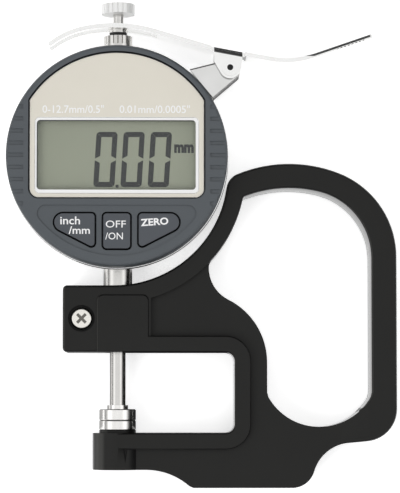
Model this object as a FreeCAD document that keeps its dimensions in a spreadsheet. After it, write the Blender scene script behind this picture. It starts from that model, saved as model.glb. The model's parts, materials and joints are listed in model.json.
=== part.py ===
import FreeCAD, Part
import math
import os

import Sketcher

# A thickness gauge: a round digital indicator clamped in a cast C-frame, with a lifting lever.
# It lies on its back. X points right and Y up the spindle as seen from the front, Z points out of the
# display, and the origin is the middle of the back cover's outer face. Sizes are in millimetres.

doc = FreeCAD.newDocument("ThicknessGauge")

SIZES = {
    # frame: thicknesses
    "axis_height": 7.0,
    "rim_half": 7.0,
    "plate_half": 6.4,
    "web_half": 4.2,
    "casting_edge": 0.7,
    "rim_edge": 0.4,
    # frame: arc beside the head, and the rib under it
    "head_arc_x": -1.0,
    "head_arc_drop": 3.6,
    "head_gap": 0.8,
    "rib_width": 5.0,
    "tip_radius": 4.9,
    # frame: upper arm with the stem clamp
    "arm_left": 15.1,
    "arm_corner": 1.2,
    "arm_height": 18.5,
    "raised_left": 5.6,
    "raised_right": 8.7,
    "raised_inset": 2.6,
    "raised_corner": 1.6,
    "web_left": 9.3,
    "web_tip": 25.1,
    "web_top": 30.0,
    "clamp_slit": 0.8,
    "clamp_x": 9.9,
    "clamp_drop": 9.2,
    "clamp_thread_radius": 2.0,
    "counterbore_radius": 3.7,
    "counterbore_floor": 4.1,
    "clamp_thread_depth": 4.8,
    "clamp_head_radius": 3.0,
    "clamp_head_height": 2.2,
    "clamp_head_round": 0.6,
    "clamp_recess_half": 1.7,
    "clamp_recess_width": 0.8,
    "clamp_recess_depth": 1.2,
    # frame: throat and its rim
    "throat_depth": 32.5,
    "throat_corner": 2.5,
    "throat_height": 22.4,
    "rim_width": 4.5,
    "rim_corner": 7.0,
    # frame: lower arm, foot and base
    "lower_arm_height": 10.2,
    "underside_end": 8.0,
    "underside_radius": 18.2,
    "foot_drop": 5.0,
    "base_corner": 6.3,
    "base_notch_radius": 11.05,
    "base_notch_x": 65.2,
    "base_notch_drop": 2.7,
    # frame: handle loop
    "loop_right": 77.5,
    "loop_bottom_drop": 2.3,
    "loop_top_x": 47.8,
    "loop_top": 1.3,
    "loop_top_radius": 38.0,
    "loop_shoulder": 25.0,
    "loop_corner": 9.0,
    "grip_right": 70.5,
    "grip_left": 41.6,
    "grip_top": 8.1,
    "grip_top_radius": 34.5,
    "grip_shoulder": 19.0,
    "grip_straight": 9.0,
    "grip_bottom_radius": 16.2,
    "grip_bulge_drop": 2.8,
    "grip_bulge_radius": 19.5,
    "grip_hollow_x": 35.3,
    "grip_hollow_radius": 9.9,
    "grip_corner": 1.2,
    "blend_start": 62.0,
    "blend_end": 70.0,
    # stem, spindle, contact and anvil, all on the spindle axis
    "running_gap": 0.05,
    "press_gap": 0.02,
    "stem_radius": 4.0,
    "stem_reach": 1.4,
    "stem_inset": 1.0,
    "rod_radius": 2.2,
    "ring_groove_radius": 1.8,
    "disc_radius": 5.1,
    "disc_height": 3.1,
    "disc_bevel": 0.25,
    "contact_collar_radius": 2.9,
    "contact_collar_height": 1.1,
    "contact_stud_radius": 1.2,
    "contact_stud_length": 6.0,
    "anvil_disc_height": 2.7,
    "anvil_seat_radius": 5.15,
    "anvil_seat_height": 0.8,
    "anvil_shank_radius": 2.5,
    "anvil_shank_length": 8.8,
    "end_play": 0.2,
    # top of the spindle
    "bush_radius": 4.0,
    "bush_neck_radius": 3.0,
    "bush_reach": 1.2,
    "bush_head_gap": 0.1,
    "bush_head_height": 6.4,
    "bush_knurl_height": 2.3,
    "ring_radius": 2.45,
    "ring_gap": 0.3,
    "ring_height": 0.8,
    "stud_radius": 2.5,
    "stud_height": 0.9,
    "stud_flange_radius": 2.8,
    "stud_flange_height": 0.5,
    "neck_radius": 1.5,
    "neck_height": 3.8,
    "neck_in_knob": 2.0,
    "knob_radius": 4.65,
    "knob_height": 2.8,
    "knurl_depth": 0.35,
    "knurl_count": 20.0,
    # indicator case and rear cover
    "case_radius": 28.5,
    "case_wall": 1.5,
    "cover_thickness": 3.0,
    "flange_back": 11.2,
    "flange_front": 13.4,
    "flange_overhang": 2.3,
    "flange_bevel": 0.3,
    "cover_bevel": 0.4,
    "post_radius": 2.5,
    "post_inset": 2.2,
    "post_turn": 135.0,
    "screw_radius": 1.0,
    "screw_length": 7.5,
    "screw_head_radius": 1.9,
    "screw_head_height": 0.9,
    "screw_head_depth": 1.1,
    "driver_slot_width": 0.6,
    "driver_slot_depth": 0.4,
    "board_back": 12.2,
    "board_thickness": 1.0,
    "board_gap": 0.2,
    # battery
    "cell_setback": 14.0,
    "cell_radius": 10.0,
    "cell_height": 3.2,
    "cell_bevel": 0.5,
    "cap_radius": 11.0,
    "cap_thickness": 2.0,
    "coin_slot_length": 12.0,
    "coin_slot_width": 1.4,
    "coin_slot_depth": 0.9,
    "clip_thickness": 0.3,
    "clip_width": 4.0,
    "clip_reach": 3.5,
    # slider, guide pin and return spring
    "block_left": 3.6,
    "block_right": 11.0,
    "block_low": 8.0,
    "block_high": 4.0,
    "block_back": 3.6,
    "block_front": 10.6,
    "plate_low": 14.0,
    "plate_high": 10.0,
    "plate_thickness": 0.8,
    "pin_x": 8.5,
    "pin_radius": 1.0,
    "pin_setback": 0.7,
    "spring_radius": 2.95,
    "spring_wire": 0.25,
    "spring_turns": 9.0,
    "spring_steps": 12.0,
    # bezel, panel and display
    "bezel_inset": 0.4,
    "bezel_front": 22.0,
    "bezel_round": 0.8,
    "bezel_wall": 1.8,
    "bezel_face": 3.5,
    "panel_side": 23.9,
    "panel_arc": 28.3,
    "panel_bottom": 11.6,
    "panel_corner": 2.5,
    "panel_shoulder": 1.0,
    "panel_gap": 0.35,
    "panel_seat": 2.0,
    "panel_ledge": 1.2,
    "panel_thickness": 1.4,
    "panel_bevel": 0.2,
    "window_half_width": 22.4,
    "window_half_height": 10.4,
    "window_corner": 1.2,
    "lens_back": 0.2,
    "lens_thickness": 1.0,
    "glass_half_width": 23.7,
    "glass_half_height": 11.5,
    "glass_thickness": 2.2,
    "strip_half_width": 22.0,
    "strip_width": 2.0,
    "grip_slot_reach": 4.8,
    "grip_slot_height": 1.15,
    "grip_slot_pitch": 3.33,
    "grip_slot_depth": 0.5,
    "grip_slot_count": 9.0,
    # keys
    "key_recess_top": 13.7,
    "key_recess_radius": 27.6,
    "key_recess_corner": 2.4,
    "key_recess_depth": 0.4,
    "key_gap": 0.3,
    "key_top": 15.85,
    "key_inner": 5.85,
    "key_nose_x": 14.6,
    "key_nose_radius": 2.6,
    "key_corner": 1.1,
    "key_side_low": 24.05,
    "key_mid_half": 3.85,
    "key_mid_bottom": 25.8,
    "key_front": 22.3,
    "key_round": 0.3,
    "key_flange": 0.8,
    "key_flange_height": 1.1,
    "key_flange_gap": 0.1,
    "key_travel": 0.5,
    "switch_half": 2.2,
    "switch_x": 11.4,
    "switch_y": 19.3,
    # lever, bracket and pivot
    "pivot_stand": 2.85,
    "pivot_drop": 9.2,
    "rivet_radius": 1.6,
    "rivet_hole": 0.8,
    "rivet_head": 2.3,
    "rivet_head_height": 0.5,
    "lever_thickness": 1.2,
    "lever_width": 9.0,
    "lever_tip_x": 18.85,
    "lever_tip_rise": 6.55,
    "lever_tip_bend": 22.6,
    "lever_crown_x": 1.0,
    "lever_crown_rise": 11.85,
    "lever_crown_bend": 41.0,
    "lever_knee_back": 5.15,
    "lever_knee_rise": 5.55,
    "lever_valley_reach": 11.65,
    "lever_valley_rise": 2.45,
    "lever_valley_bend": 24.0,
    "lever_end_reach": 39.25,
    "lever_end_rise": 8.9,
    "fork_slot": 6.0,
    "fork_depth": 11.0,
    "ear_back": 4.45,
    "ear_reach": 3.45,
    "ear_gap": 0.1,
    "ear_round": 3.0,
    "ear_bend": 1.7,
    "ear_relief_width": 0.7,
    "ear_relief_depth": 2.0,
    "ear_rise_left": 5.4,
    "ear_rise_right": 3.95,
    "ear_side_rise_left": 1.7,
    "ear_side_rise_right": 2.5,
    "bracket_half": 3.2,
    "bracket_sheet": 1.0,
    "bracket_top_back": 11.35,
    "bracket_top_drop": 0.2,
    "bracket_knee_back": 4.55,
    "bracket_knee_rise": 1.5,
    "bracket_eye": 2.5,
    "bracket_fold_reach": 2.55,
    "bracket_fold_drop": 2.2,
    "bracket_low_back": 4.65,
    "bracket_low_drop": 8.35,
    "bracket_turn": 42.7,
    "tongue_reach": 4.2,
    "tongue_half": 7.0,
    "tongue_level": 0.9,
    "tongue_recess": 0.1,
    "joggle_bite": 0.15,
    "joggle_half": 5.0,
    "tongue_screw_inset": 0.4,
    "tongue_screw_y": 4.5,
    "tongue_head_height": 0.7,
}

# Lengths that follow from others: where each is measured from and which way, and its own distance.
FOLLOWS = {
    "case_bore": ("case_radius", "-", "case_wall"),
    "flange_radius": ("case_radius", "+", "flange_overhang"),
    "bezel_radius": ("flange_radius", "-", "bezel_inset"),
    "grip_slot_inner": ("bezel_radius", "-", "grip_slot_reach"),
    "post_circle": ("case_bore", "-", "post_inset"),
    "tongue_screw_x": ("post_circle", "-", "tongue_screw_inset"),
    "tongue_inner": ("post_circle", "-", "tongue_reach"),
    "cell_x": ("case_radius", "-", "cell_setback"),
    "stem_inner_end": ("case_bore", "-", "stem_reach"),
    "bush_inner_end": ("case_bore", "-", "bush_reach"),
    "pin_half": ("case_bore", "-", "pin_setback"),
    "bush_head_start": ("case_radius", "+", "bush_head_gap"),
    "bush_top": ("bush_head_start", "+", "bush_head_height"),
    "head_arc_radius": ("flange_radius", "+", "head_gap"),
    "arm_top": ("head_arc_radius", "+", "head_arc_drop"),
    "arm_bottom": ("arm_top", "+", "arm_height"),
    "raised_top": ("arm_top", "+", "raised_inset"),
    "clamp_y": ("arm_top", "+", "clamp_drop"),
    "stem_end": ("arm_bottom", "-", "stem_inset"),
    "lower_arm_top": ("arm_bottom", "+", "throat_height"),
    "anvil_seat_top": ("lower_arm_top", "-", "anvil_seat_height"),
    "contact_level": ("anvil_seat_top", "-", "anvil_disc_height"),
    "lower_arm_bottom": ("lower_arm_top", "+", "lower_arm_height"),
    "foot_level": ("lower_arm_bottom", "+", "foot_drop"),
    "loop_bottom": ("lower_arm_top", "+", "loop_bottom_drop"),
    "base_notch_level": ("lower_arm_top", "+", "base_notch_drop"),
    "grip_bulge_start": ("arm_bottom", "+", "grip_bulge_drop"),
    "grip_bottom_start": ("grip_bulge_start", "+", "grip_straight"),
    "pivot_x": ("case_radius", "+", "pivot_stand"),
    "pivot_y": ("bush_top", "-", "pivot_drop"),
    "lever_tip_y": ("pivot_y", "+", "lever_tip_rise"),
    "lever_crown_y": ("pivot_y", "+", "lever_crown_rise"),
    "lever_knee_x": ("pivot_x", "-", "lever_knee_back"),
    "lever_knee_y": ("pivot_y", "+", "lever_knee_rise"),
    "lever_valley_x": ("pivot_x", "+", "lever_valley_reach"),
    "lever_valley_y": ("pivot_y", "+", "lever_valley_rise"),
    "lever_end_x": ("pivot_x", "+", "lever_end_reach"),
    "lever_end_y": ("pivot_y", "+", "lever_end_rise"),
    "ear_left": ("pivot_x", "-", "ear_back"),
    "ear_right": ("pivot_x", "+", "ear_reach"),
    "ear_top_left": ("pivot_y", "+", "ear_rise_left"),
    "ear_top_right": ("pivot_y", "+", "ear_rise_right"),
    "ear_side_left": ("pivot_y", "+", "ear_side_rise_left"),
    "ear_side_right": ("pivot_y", "+", "ear_side_rise_right"),
    "bracket_top_x": ("pivot_x", "-", "bracket_top_back"),
    "bracket_top_y": ("pivot_y", "-", "bracket_top_drop"),
    "bracket_knee_x": ("pivot_x", "-", "bracket_knee_back"),
    "bracket_knee_y": ("pivot_y", "+", "bracket_knee_rise"),
    "bracket_fold_x": ("pivot_x", "+", "bracket_fold_reach"),
    "bracket_fold_y": ("pivot_y", "-", "bracket_fold_drop"),
    "bracket_low_x": ("pivot_x", "-", "bracket_low_back"),
    "bracket_low_y": ("pivot_y", "-", "bracket_low_drop"),
}

sheet = doc.addObject("Spreadsheet::Sheet", "Sizes")
for row, (name, number) in enumerate(SIZES.items(), 1):
    sheet.set(f"A{row}", name)
    sheet.set(f"B{row}", str(number))
    sheet.setAlias(f"B{row}", name)
doc.recompute()


# A length with its number and the formula on the sheet's cells that it comes from.
class Size:
    def __init__(self, value, text=None):
        self.value = float(value)
        self.text = text or repr(float(value))

    def combine(self, other, sign, value):
        return Size(value, f"({self.text} {sign} {as_size(other).text})")

    def __add__(self, other):
        return self.combine(other, "+", self.value + as_size(other).value)

    def __sub__(self, other):
        return self.combine(other, "-", self.value - as_size(other).value)

    def __mul__(self, other):
        return self.combine(other, "*", self.value * as_size(other).value)

    def __truediv__(self, other):
        return self.combine(other, "/", self.value / as_size(other).value)

    def __rsub__(self, other):
        return as_size(other) - self

    def __neg__(self):
        return Size(-self.value, f"(0 - {self.text})")

    __radd__ = __add__
    __rmul__ = __mul__


class Cells:
    def __getattr__(self, alias):
        if alias in SIZES:
            return Size(SIZES[alias], f"Sizes.{alias}")
        start, sign, own = FOLLOWS[alias]
        if sign == "+":
            return getattr(self, start) + getattr(self, own)
        return getattr(self, start) - getattr(self, own)


def as_size(number):
    return number if isinstance(number, Size) else Size(number)


def root(size):
    return Size(math.sqrt(size.value), f"sqrt({size.text})")


def cosine(degrees):
    return Size(math.cos(math.radians(degrees.value)), f"cos({degrees.text})")


def sine(degrees):
    return Size(math.sin(math.radians(degrees.value)), f"sin({degrees.text})")


d = Cells()
AXIS = Size(0.0)
LEFT = 1
RIGHT = -1
parts = []


def bind(item, name, size):
    item.setExpression(name, as_size(size).text)


# A turn along an outline, with its radius and, where the sheet holds it, its centre.
class Bend:
    def __init__(self, radius, turn, centre=None):
        self.radius = radius
        self.turn = turn
        self.centre = centre


# A corner of an outline. A coordinate that is a Size is held to the sheet. A plain number is a first
# guess, which the smooth joints beside it settle.
class Corner:
    def __init__(self, x, y, bend=None, smooth=False):
        self.x = x
        self.y = y
        self.bend = bend
        self.smooth = smooth
        self.place = FreeCAD.Vector(as_size(x).value, as_size(y).value, 0)


def smooth(x, y, bend=None):
    return Corner(x, y, bend, True)


def hold(sketch, edge, spot, x, y):
    for kind, axis, size in (("DistanceX", -2, x), ("DistanceY", -1, y)):
        if size is AXIS:
            sketch.addConstraint(Sketcher.Constraint("PointOnObject", edge, spot, axis))
        elif isinstance(size, Size):
            index = sketch.addConstraint(Sketcher.Constraint(kind, -1, 1, edge, spot, size.value))
            sketch.setExpression(f"Constraints[{index}]", size.text)


def hold_radius(sketch, edge, radius):
    index = sketch.addConstraint(Sketcher.Constraint("Radius", edge, radius.value))
    sketch.setExpression(f"Constraints[{index}]", radius.text)


def arc_between(start, end, bend):
    chord = end - start
    middle = (start + end) * 0.5
    side = FreeCAD.Vector(-chord.y, chord.x, 0) * (bend.turn / chord.Length)
    rise = math.sqrt(max(bend.radius.value**2 - chord.Length**2 / 4, 0.0))
    centre = middle + side * rise
    first, last = (start, end) if bend.turn == LEFT else (end, start)
    angles = [math.atan2(p.y - centre.y, p.x - centre.x) for p in (first, last)]
    return Part.ArcOfCircle(Part.Circle(centre, FreeCAD.Vector(0, 0, 1), bend.radius.value), *angles)


def outline(sketch, corners, closed=True):
    edges = []
    ends = corners[1:] + corners[:1] if closed else corners[1:]
    for corner, after in zip(corners, ends):
        if corner.bend is None:
            edge = sketch.addGeometry(Part.LineSegment(corner.place, after.place), False)
            edges.append((edge, 1, 2))
        else:
            edge = sketch.addGeometry(arc_between(corner.place, after.place, corner.bend), False)
            edges.append((edge, 1, 2) if corner.bend.turn == LEFT else (edge, 2, 1))
    for number, corner in enumerate(corners[:len(edges)]):
        before, _, tail = edges[number - 1]
        edge, head, _ = edges[number]
        if number or closed:
            kind = "Tangent" if corner.smooth else "Coincident"
            sketch.addConstraint(Sketcher.Constraint(kind, before, tail, edge, head))
        hold(sketch, edge, head, corner.x, corner.y)
        if corner.bend:
            hold_radius(sketch, edge, corner.bend.radius)
            if corner.bend.centre:
                hold(sketch, edge, 3, *corner.bend.centre)
    if not closed:
        last, _, tail = edges[-1]
        hold(sketch, last, tail, corners[-1].x, corners[-1].y)
    doc.recompute()
    assert sketch.solve() == 0, f"{sketch.Name} has no solution"


def circle(sketch, x, y, radius):
    place = FreeCAD.Vector(as_size(x).value, as_size(y).value, 0)
    edge = sketch.addGeometry(Part.Circle(place, FreeCAD.Vector(0, 0, 1), radius.value), False)
    hold(sketch, edge, 3, x, y)
    hold_radius(sketch, edge, radius)


def box(sketch, left, bottom, right, top):
    outline(sketch, [Corner(left, bottom), Corner(right, bottom), Corner(right, top), Corner(left, top)])


def new_body(name, up=AXIS):
    body = doc.addObject("PartDesign::Body", name)
    body.Label = name
    if up is not AXIS:
        bind(body, "Placement.Base.z", up)
    parts.append(body)
    return body


def datum(body, role):
    return [item for item in body.Origin.OriginFeatures if item.Role == role][0]


def sketch_on(body, name, up=AXIS, plane="XY_Plane", turned=None):
    sketch = body.newObject("Sketcher::SketchObject", f"{body.Name}_{name}")
    sketch.AttachmentSupport = [(datum(body, plane), "")]
    sketch.MapMode = "FlatFace"
    if up is not AXIS:
        bind(sketch, "AttachmentOffset.Base.z", up)
    if turned:
        sketch.AttachmentOffset = FreeCAD.Placement(
            FreeCAD.Vector(0, 0, as_size(up).value), FreeCAD.Rotation(FreeCAD.Vector(0, 0, 1), turned.value))
        bind(sketch, "AttachmentOffset.Rotation.Angle", turned)
    return sketch


def add(body, kind, sketch, length, midplane=False, flip=False):
    feature = body.newObject(f"PartDesign::{kind}", f"{sketch.Name}_{kind}")
    feature.Profile = sketch
    feature.Length = as_size(length).value
    bind(feature, "Length", length)
    feature.Midplane = midplane
    feature.Reversed = flip
    sketch.Visibility = False
    doc.recompute()
    return feature


def cut(body, sketch, length, midplane=False, flip=False):
    before = body.Shape.Volume
    feature = add(body, "Pocket", sketch, length, midplane, flip)
    assert body.Shape.Volume < before - 1e-6, f"{feature.Name} cuts nothing"
    return feature


def turn(body, kind, sketch):
    feature = body.newObject(f"PartDesign::{kind}", f"{sketch.Name}_{kind}")
    feature.Profile = sketch
    feature.ReferenceAxis = (sketch, ["V_Axis"])
    feature.Angle = 360
    sketch.Visibility = False
    doc.recompute()
    return feature


def mirror(body, feature, plane="XY_Plane"):
    twin = body.newObject("PartDesign::Mirrored", f"{feature.Name}_Mirrored")
    twin.Originals = [feature]
    twin.MirrorPlane = (datum(body, plane), [""])
    body.Tip = twin
    doc.recompute()
    return twin


def repeat_round(body, feature, count, angle=360.0, axis="Z_Axis"):
    ring = body.newObject("PartDesign::PolarPattern", f"{feature.Name}_Polar")
    ring.Originals = [feature]
    ring.Axis = (datum(body, axis), [""])
    ring.Angle = angle
    if isinstance(count, Size):
        bind(ring, "Occurrences", count)
    else:
        ring.Occurrences = count
    body.Tip = ring
    doc.recompute()
    return ring


def repeat_line(body, feature, count, pitch, axis="Y_Axis"):
    row = body.newObject("PartDesign::LinearPattern", f"{feature.Name}_Linear")
    row.Originals = [feature]
    row.Direction = (datum(body, axis), [""])
    bind(row, "Length", pitch * (count - 1))
    bind(row, "Occurrences", count)
    body.Tip = row
    doc.recompute()
    return row


def turned(name, corners):
    body = new_body(name, up=d.axis_height)
    profile = sketch_on(body, "profile")
    outline(profile, corners)
    turn(body, "Revolution", profile)
    return body


# V-shaped notches along the spindle axis round the edge of a turned piece.
def knurl(body, radius, low, high):
    notch = sketch_on(body, "notch", up=-low, plane="XZ_Plane")
    outline(notch, [
        Corner(AXIS, radius - d.knurl_depth),
        Corner(d.knurl_depth, radius + d.knurl_depth),
        Corner(-d.knurl_depth, radius + d.knurl_depth),
    ])
    first = cut(body, notch, high - low)
    repeat_round(body, first, d.knurl_count, axis="Y_Axis")


def soften(body, kind, size, chosen):
    base = body.Tip
    names = [f"Edge{n}" for n, edge in enumerate(base.Shape.Edges, 1) if chosen(edge)]
    feature = body.newObject(f"PartDesign::{kind}", f"{base.Name}_{kind}")
    feature.Base = (base, names)
    key = "Radius" if kind == "Fillet" else "Size"
    setattr(feature, key, as_size(size).value)
    bind(feature, key, size)
    base.Visibility = False
    doc.recompute()
    return feature


def on_faces(half):
    return lambda edge: all(abs(abs(v.Z) - half.value) < 1e-4 for v in edge.Vertexes)


def at_level(level):
    return lambda edge: all(abs(v.Z - level.value) < 1e-4 for v in edge.Vertexes)


def on_circle(radius):
    return lambda edge: hasattr(edge.Curve, "Radius") and abs(edge.Curve.Radius - radius.value) < 1e-4


# Frame casting: one piece with the stem clamp, the throat, the web under the rib and the handle loop.
def frame_casting():
    body = new_body("frame_casting", up=d.axis_height)
    rib_radius = d.head_arc_radius + d.rib_width
    head_centre = (d.head_arc_x, -d.head_arc_drop)
    inner = d.throat_depth - d.throat_corner
    loop_turn = d.loop_corner - d.loop_bottom
    notch_centre = (d.base_notch_x, -d.base_notch_level - d.base_notch_radius)
    plan = sketch_on(body, "plan")
    outline(plan, [
        Corner(-d.arm_left + d.arm_corner, -d.arm_top),
        smooth(d.head_arc_x, -d.arm_top, Bend(d.head_arc_radius, LEFT)),
        smooth(30.3, -8.0, Bend(d.tip_radius, RIGHT)),
        smooth(33.3, -4.2, Bend(d.loop_top_radius, RIGHT, (d.loop_top_x, -d.loop_top - d.loop_top_radius))),
        smooth(61.5, -3.9, Bend(d.loop_shoulder, RIGHT)),
        smooth(d.loop_right, -27.2),
        Corner(d.loop_right, loop_turn, Bend(d.loop_corner, RIGHT, (None, loop_turn))),
        smooth(69.4, -78.4),
        smooth(64.1, -78.9, Bend(d.base_notch_radius, LEFT, notch_centre)),
        smooth(54.6, -86.8, Bend(d.base_corner, RIGHT)),
        smooth(48.6, -d.foot_level),
        Corner(20.5, -d.foot_level, Bend(d.underside_radius, LEFT)),
        smooth(d.underside_end, -d.lower_arm_bottom),
        Corner(AXIS, -d.lower_arm_bottom),
        Corner(AXIS, -d.lower_arm_top),
        Corner(inner, -d.lower_arm_top, Bend(d.throat_corner, LEFT)),
        Corner(d.throat_depth, -d.lower_arm_top + d.throat_corner),
        Corner(d.throat_depth, -d.arm_bottom - d.throat_corner, Bend(d.throat_corner, LEFT)),
        Corner(inner, -d.arm_bottom),
        Corner(-d.arm_left + d.arm_corner, -d.arm_bottom, Bend(d.arm_corner, RIGHT)),
        Corner(-d.arm_left, -d.arm_bottom + d.arm_corner),
        Corner(-d.arm_left, -d.arm_top - d.arm_corner, Bend(d.arm_corner, RIGHT)),
    ])
    outline(plan, [
        smooth(33.9, -12.9, Bend(d.grip_corner, RIGHT)),
        smooth(35.6, -10.3, Bend(d.grip_top_radius, RIGHT, (d.loop_top_x, -d.grip_top - d.grip_top_radius))),
        smooth(55.8, -9.1, Bend(d.grip_shoulder, RIGHT)),
        smooth(d.grip_right, -27.5),
        Corner(d.grip_right, -d.grip_bottom_start, Bend(d.grip_bottom_radius, RIGHT)),
        Corner(d.grip_left, -d.grip_bottom_start),
        smooth(d.grip_left, -d.grip_bulge_start, Bend(d.grip_bulge_radius, LEFT)),
        smooth(30.8, -39.4, Bend(d.grip_hollow_radius, RIGHT, (d.grip_hollow_x, None))),
        Corner(25.6, -29.1, Bend(rib_radius, LEFT, head_centre)),
    ])
    add(body, "Pad", plan, 2 * d.plate_half, midplane=True)
    soften(body, "Chamfer", d.casting_edge, on_faces(d.plate_half))

    # The web lies lower than the rib and the loop on both faces, from the rib down to the foot.
    web = sketch_on(body, "web", up=d.web_half)
    outline(web, [
        Corner(d.web_left, -38.7, Bend(rib_radius, LEFT, head_centre)),
        Corner(d.web_tip, -29.3),
        Corner(d.loop_top_x, -d.web_top),
        Corner(d.loop_top_x, -d.grip_bottom_start),
        Corner(d.blend_start, -d.grip_bottom_start),
        Corner(d.blend_start, -d.foot_level - 1),
        Corner(-d.arm_left, -d.foot_level - 1),
        Corner(-d.arm_left, -d.arm_bottom - d.rim_width),
        Corner(d.web_left, -d.arm_bottom - d.rim_width),
    ])
    mirror(body, cut(body, web, d.plate_half, flip=True))
    blend = sketch_on(body, "blend", up=d.grip_bottom_start, plane="XZ_Plane")
    outline(blend, [
        Corner(d.blend_start, d.web_half),
        Corner(d.blend_end, d.plate_half),
        Corner(d.blend_end, d.plate_half + 1),
        Corner(d.blend_start, d.plate_half + 1),
    ])
    mirror(body, cut(body, blend, d.foot_level - d.grip_bottom_start, flip=True))

    # A raised rim runs round the throat and widens into the pad on the stem clamp.
    rim = sketch_on(body, "rim")
    rim_right = d.throat_depth + d.rim_width
    rim_high = -d.arm_bottom + d.rim_width
    rim_low = -d.lower_arm_top - d.rim_width
    outline(rim, [
        Corner(AXIS, -d.lower_arm_top),
        Corner(inner, -d.lower_arm_top, Bend(d.throat_corner, LEFT)),
        Corner(d.throat_depth, -d.lower_arm_top + d.throat_corner),
        Corner(d.throat_depth, -d.arm_bottom - d.throat_corner, Bend(d.throat_corner, LEFT)),
        Corner(inner, -d.arm_bottom),
        Corner(-d.raised_left, -d.arm_bottom),
        Corner(-d.raised_left, -d.raised_top - d.raised_corner, Bend(d.raised_corner, RIGHT)),
        Corner(-d.raised_left + d.raised_corner, -d.raised_top),
        Corner(d.raised_right - d.raised_corner, -d.raised_top, Bend(d.raised_corner, RIGHT)),
        Corner(d.raised_right, -d.raised_top - d.raised_corner),
        Corner(d.raised_right, rim_high),
        Corner(rim_right - d.rim_corner, rim_high, Bend(d.rim_corner, RIGHT)),
        Corner(rim_right, rim_high - d.rim_corner),
        Corner(rim_right, rim_low + d.rim_corner, Bend(d.rim_corner, RIGHT)),
        Corner(rim_right - d.rim_corner, rim_low),
        Corner(AXIS, rim_low),
    ])
    add(body, "Pad", rim, 2 * d.rim_half, midplane=True)
    soften(body, "Chamfer", d.rim_edge, on_faces(d.rim_half))

    # The lower arm ends in an upright round boss, with a raised seat on it for the anvil.
    boss = sketch_on(body, "boss")
    box(boss, AXIS, -d.lower_arm_bottom, d.rim_half, -d.lower_arm_top)
    turn(body, "Revolution", boss)
    seat = sketch_on(body, "seat")
    box(seat, AXIS, -d.lower_arm_top - 1, d.anvil_seat_radius, -d.anvil_seat_top)
    turn(body, "Revolution", seat)
    anvil_bore = sketch_on(body, "anvil_bore")
    anvil_bottom = -d.anvil_seat_top - d.anvil_shank_length - d.end_play
    box(anvil_bore, AXIS, anvil_bottom, d.anvil_shank_radius + d.press_gap, -d.anvil_seat_top + 1)
    turn(body, "Groove", anvil_bore)

    # The stem bore is split to the left, and a screw across the split closes it.
    stem_bore = sketch_on(body, "stem_bore")
    box(stem_bore, AXIS, -d.arm_bottom - 1, d.stem_radius + d.press_gap, 1 - d.arm_top)
    turn(body, "Groove", stem_bore)
    slit = sketch_on(body, "slit")
    box(slit, -d.arm_left - 1, -d.arm_bottom - 1, AXIS, 1 - d.arm_top)
    cut(body, slit, d.clamp_slit, midplane=True)
    counterbore = sketch_on(body, "counterbore", up=d.counterbore_floor)
    circle(counterbore, -d.clamp_x, -d.clamp_y, d.counterbore_radius)
    cut(body, counterbore, d.rim_half, flip=True)
    passage = sketch_on(body, "passage")
    circle(passage, -d.clamp_x, -d.clamp_y, d.clamp_thread_radius + 3 * d.running_gap)
    cut(body, passage, d.rim_half, flip=True)
    thread = sketch_on(body, "thread")
    circle(thread, -d.clamp_x, -d.clamp_y, d.clamp_thread_radius + d.press_gap)
    cut(body, thread, d.clamp_thread_depth)


# Clamp screw: pan head with a cross recess that stands turned by an eighth of a turn.
def clamp_screw():
    body = new_body("clamp_screw", up=d.axis_height)
    head = sketch_on(body, "head", up=d.counterbore_floor)
    circle(head, -d.clamp_x, -d.clamp_y, d.clamp_head_radius)
    add(body, "Pad", head, d.clamp_head_height)
    top = d.counterbore_floor + d.clamp_head_height
    soften(body, "Chamfer", d.clamp_head_round, at_level(top))
    shank = sketch_on(body, "shank", up=d.counterbore_floor)
    circle(shank, -d.clamp_x, -d.clamp_y, d.clamp_thread_radius)
    add(body, "Pad", shank, d.counterbore_floor + d.clamp_thread_depth - d.end_play, flip=True)
    arm = d.clamp_recess_half
    thin = d.clamp_recess_width / 2
    cross = sketch_on(body, "cross", up=top)
    points = [(arm, thin), (thin, thin), (thin, arm), (-thin, arm), (-thin, thin), (-arm, thin),
              (-arm, -thin), (-thin, -thin), (-thin, -arm), (thin, -arm), (thin, -thin), (arm, -thin)]
    tilt = math.sqrt(0.5)
    outline(cross, [Corner((x - y) * tilt - d.clamp_x, (x + y) * tilt - d.clamp_y) for x, y in points])
    cut(body, cross, d.clamp_recess_depth)


def anvil_disc():
    seat = -d.anvil_seat_top
    top = -d.contact_level
    face = d.disc_radius - d.disc_bevel
    turned("anvil_disc", [
        Corner(AXIS, seat - d.anvil_shank_length),
        Corner(d.anvil_shank_radius, seat - d.anvil_shank_length),
        Corner(d.anvil_shank_radius, seat),
        Corner(face, seat),
        Corner(d.disc_radius, seat + d.disc_bevel),
        Corner(d.disc_radius, top - d.disc_bevel),
        Corner(face, top),
        Corner(AXIS, top),
    ])


def contact_disc():
    low = -d.contact_level
    top = low + d.disc_height
    collar = top + d.contact_collar_height
    face = d.disc_radius - d.disc_bevel
    turned("contact_disc", [
        Corner(AXIS, low),
        Corner(face, low),
        Corner(d.disc_radius, low + d.disc_bevel),
        Corner(d.disc_radius, top - d.disc_bevel),
        Corner(face, top),
        Corner(d.contact_collar_radius, top),
        Corner(d.contact_collar_radius, collar),
        Corner(d.contact_stud_radius, collar),
        Corner(d.contact_stud_radius, collar + d.contact_stud_length),
        Corner(AXIS, collar + d.contact_stud_length),
    ])


def stem_tube():
    bore = d.rod_radius + d.running_gap
    turned("stem_tube", [
        Corner(bore, -d.stem_inner_end),
        Corner(bore, -d.stem_end),
        Corner(d.stem_radius, -d.stem_end),
        Corner(d.stem_radius, -d.stem_inner_end),
    ])


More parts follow.
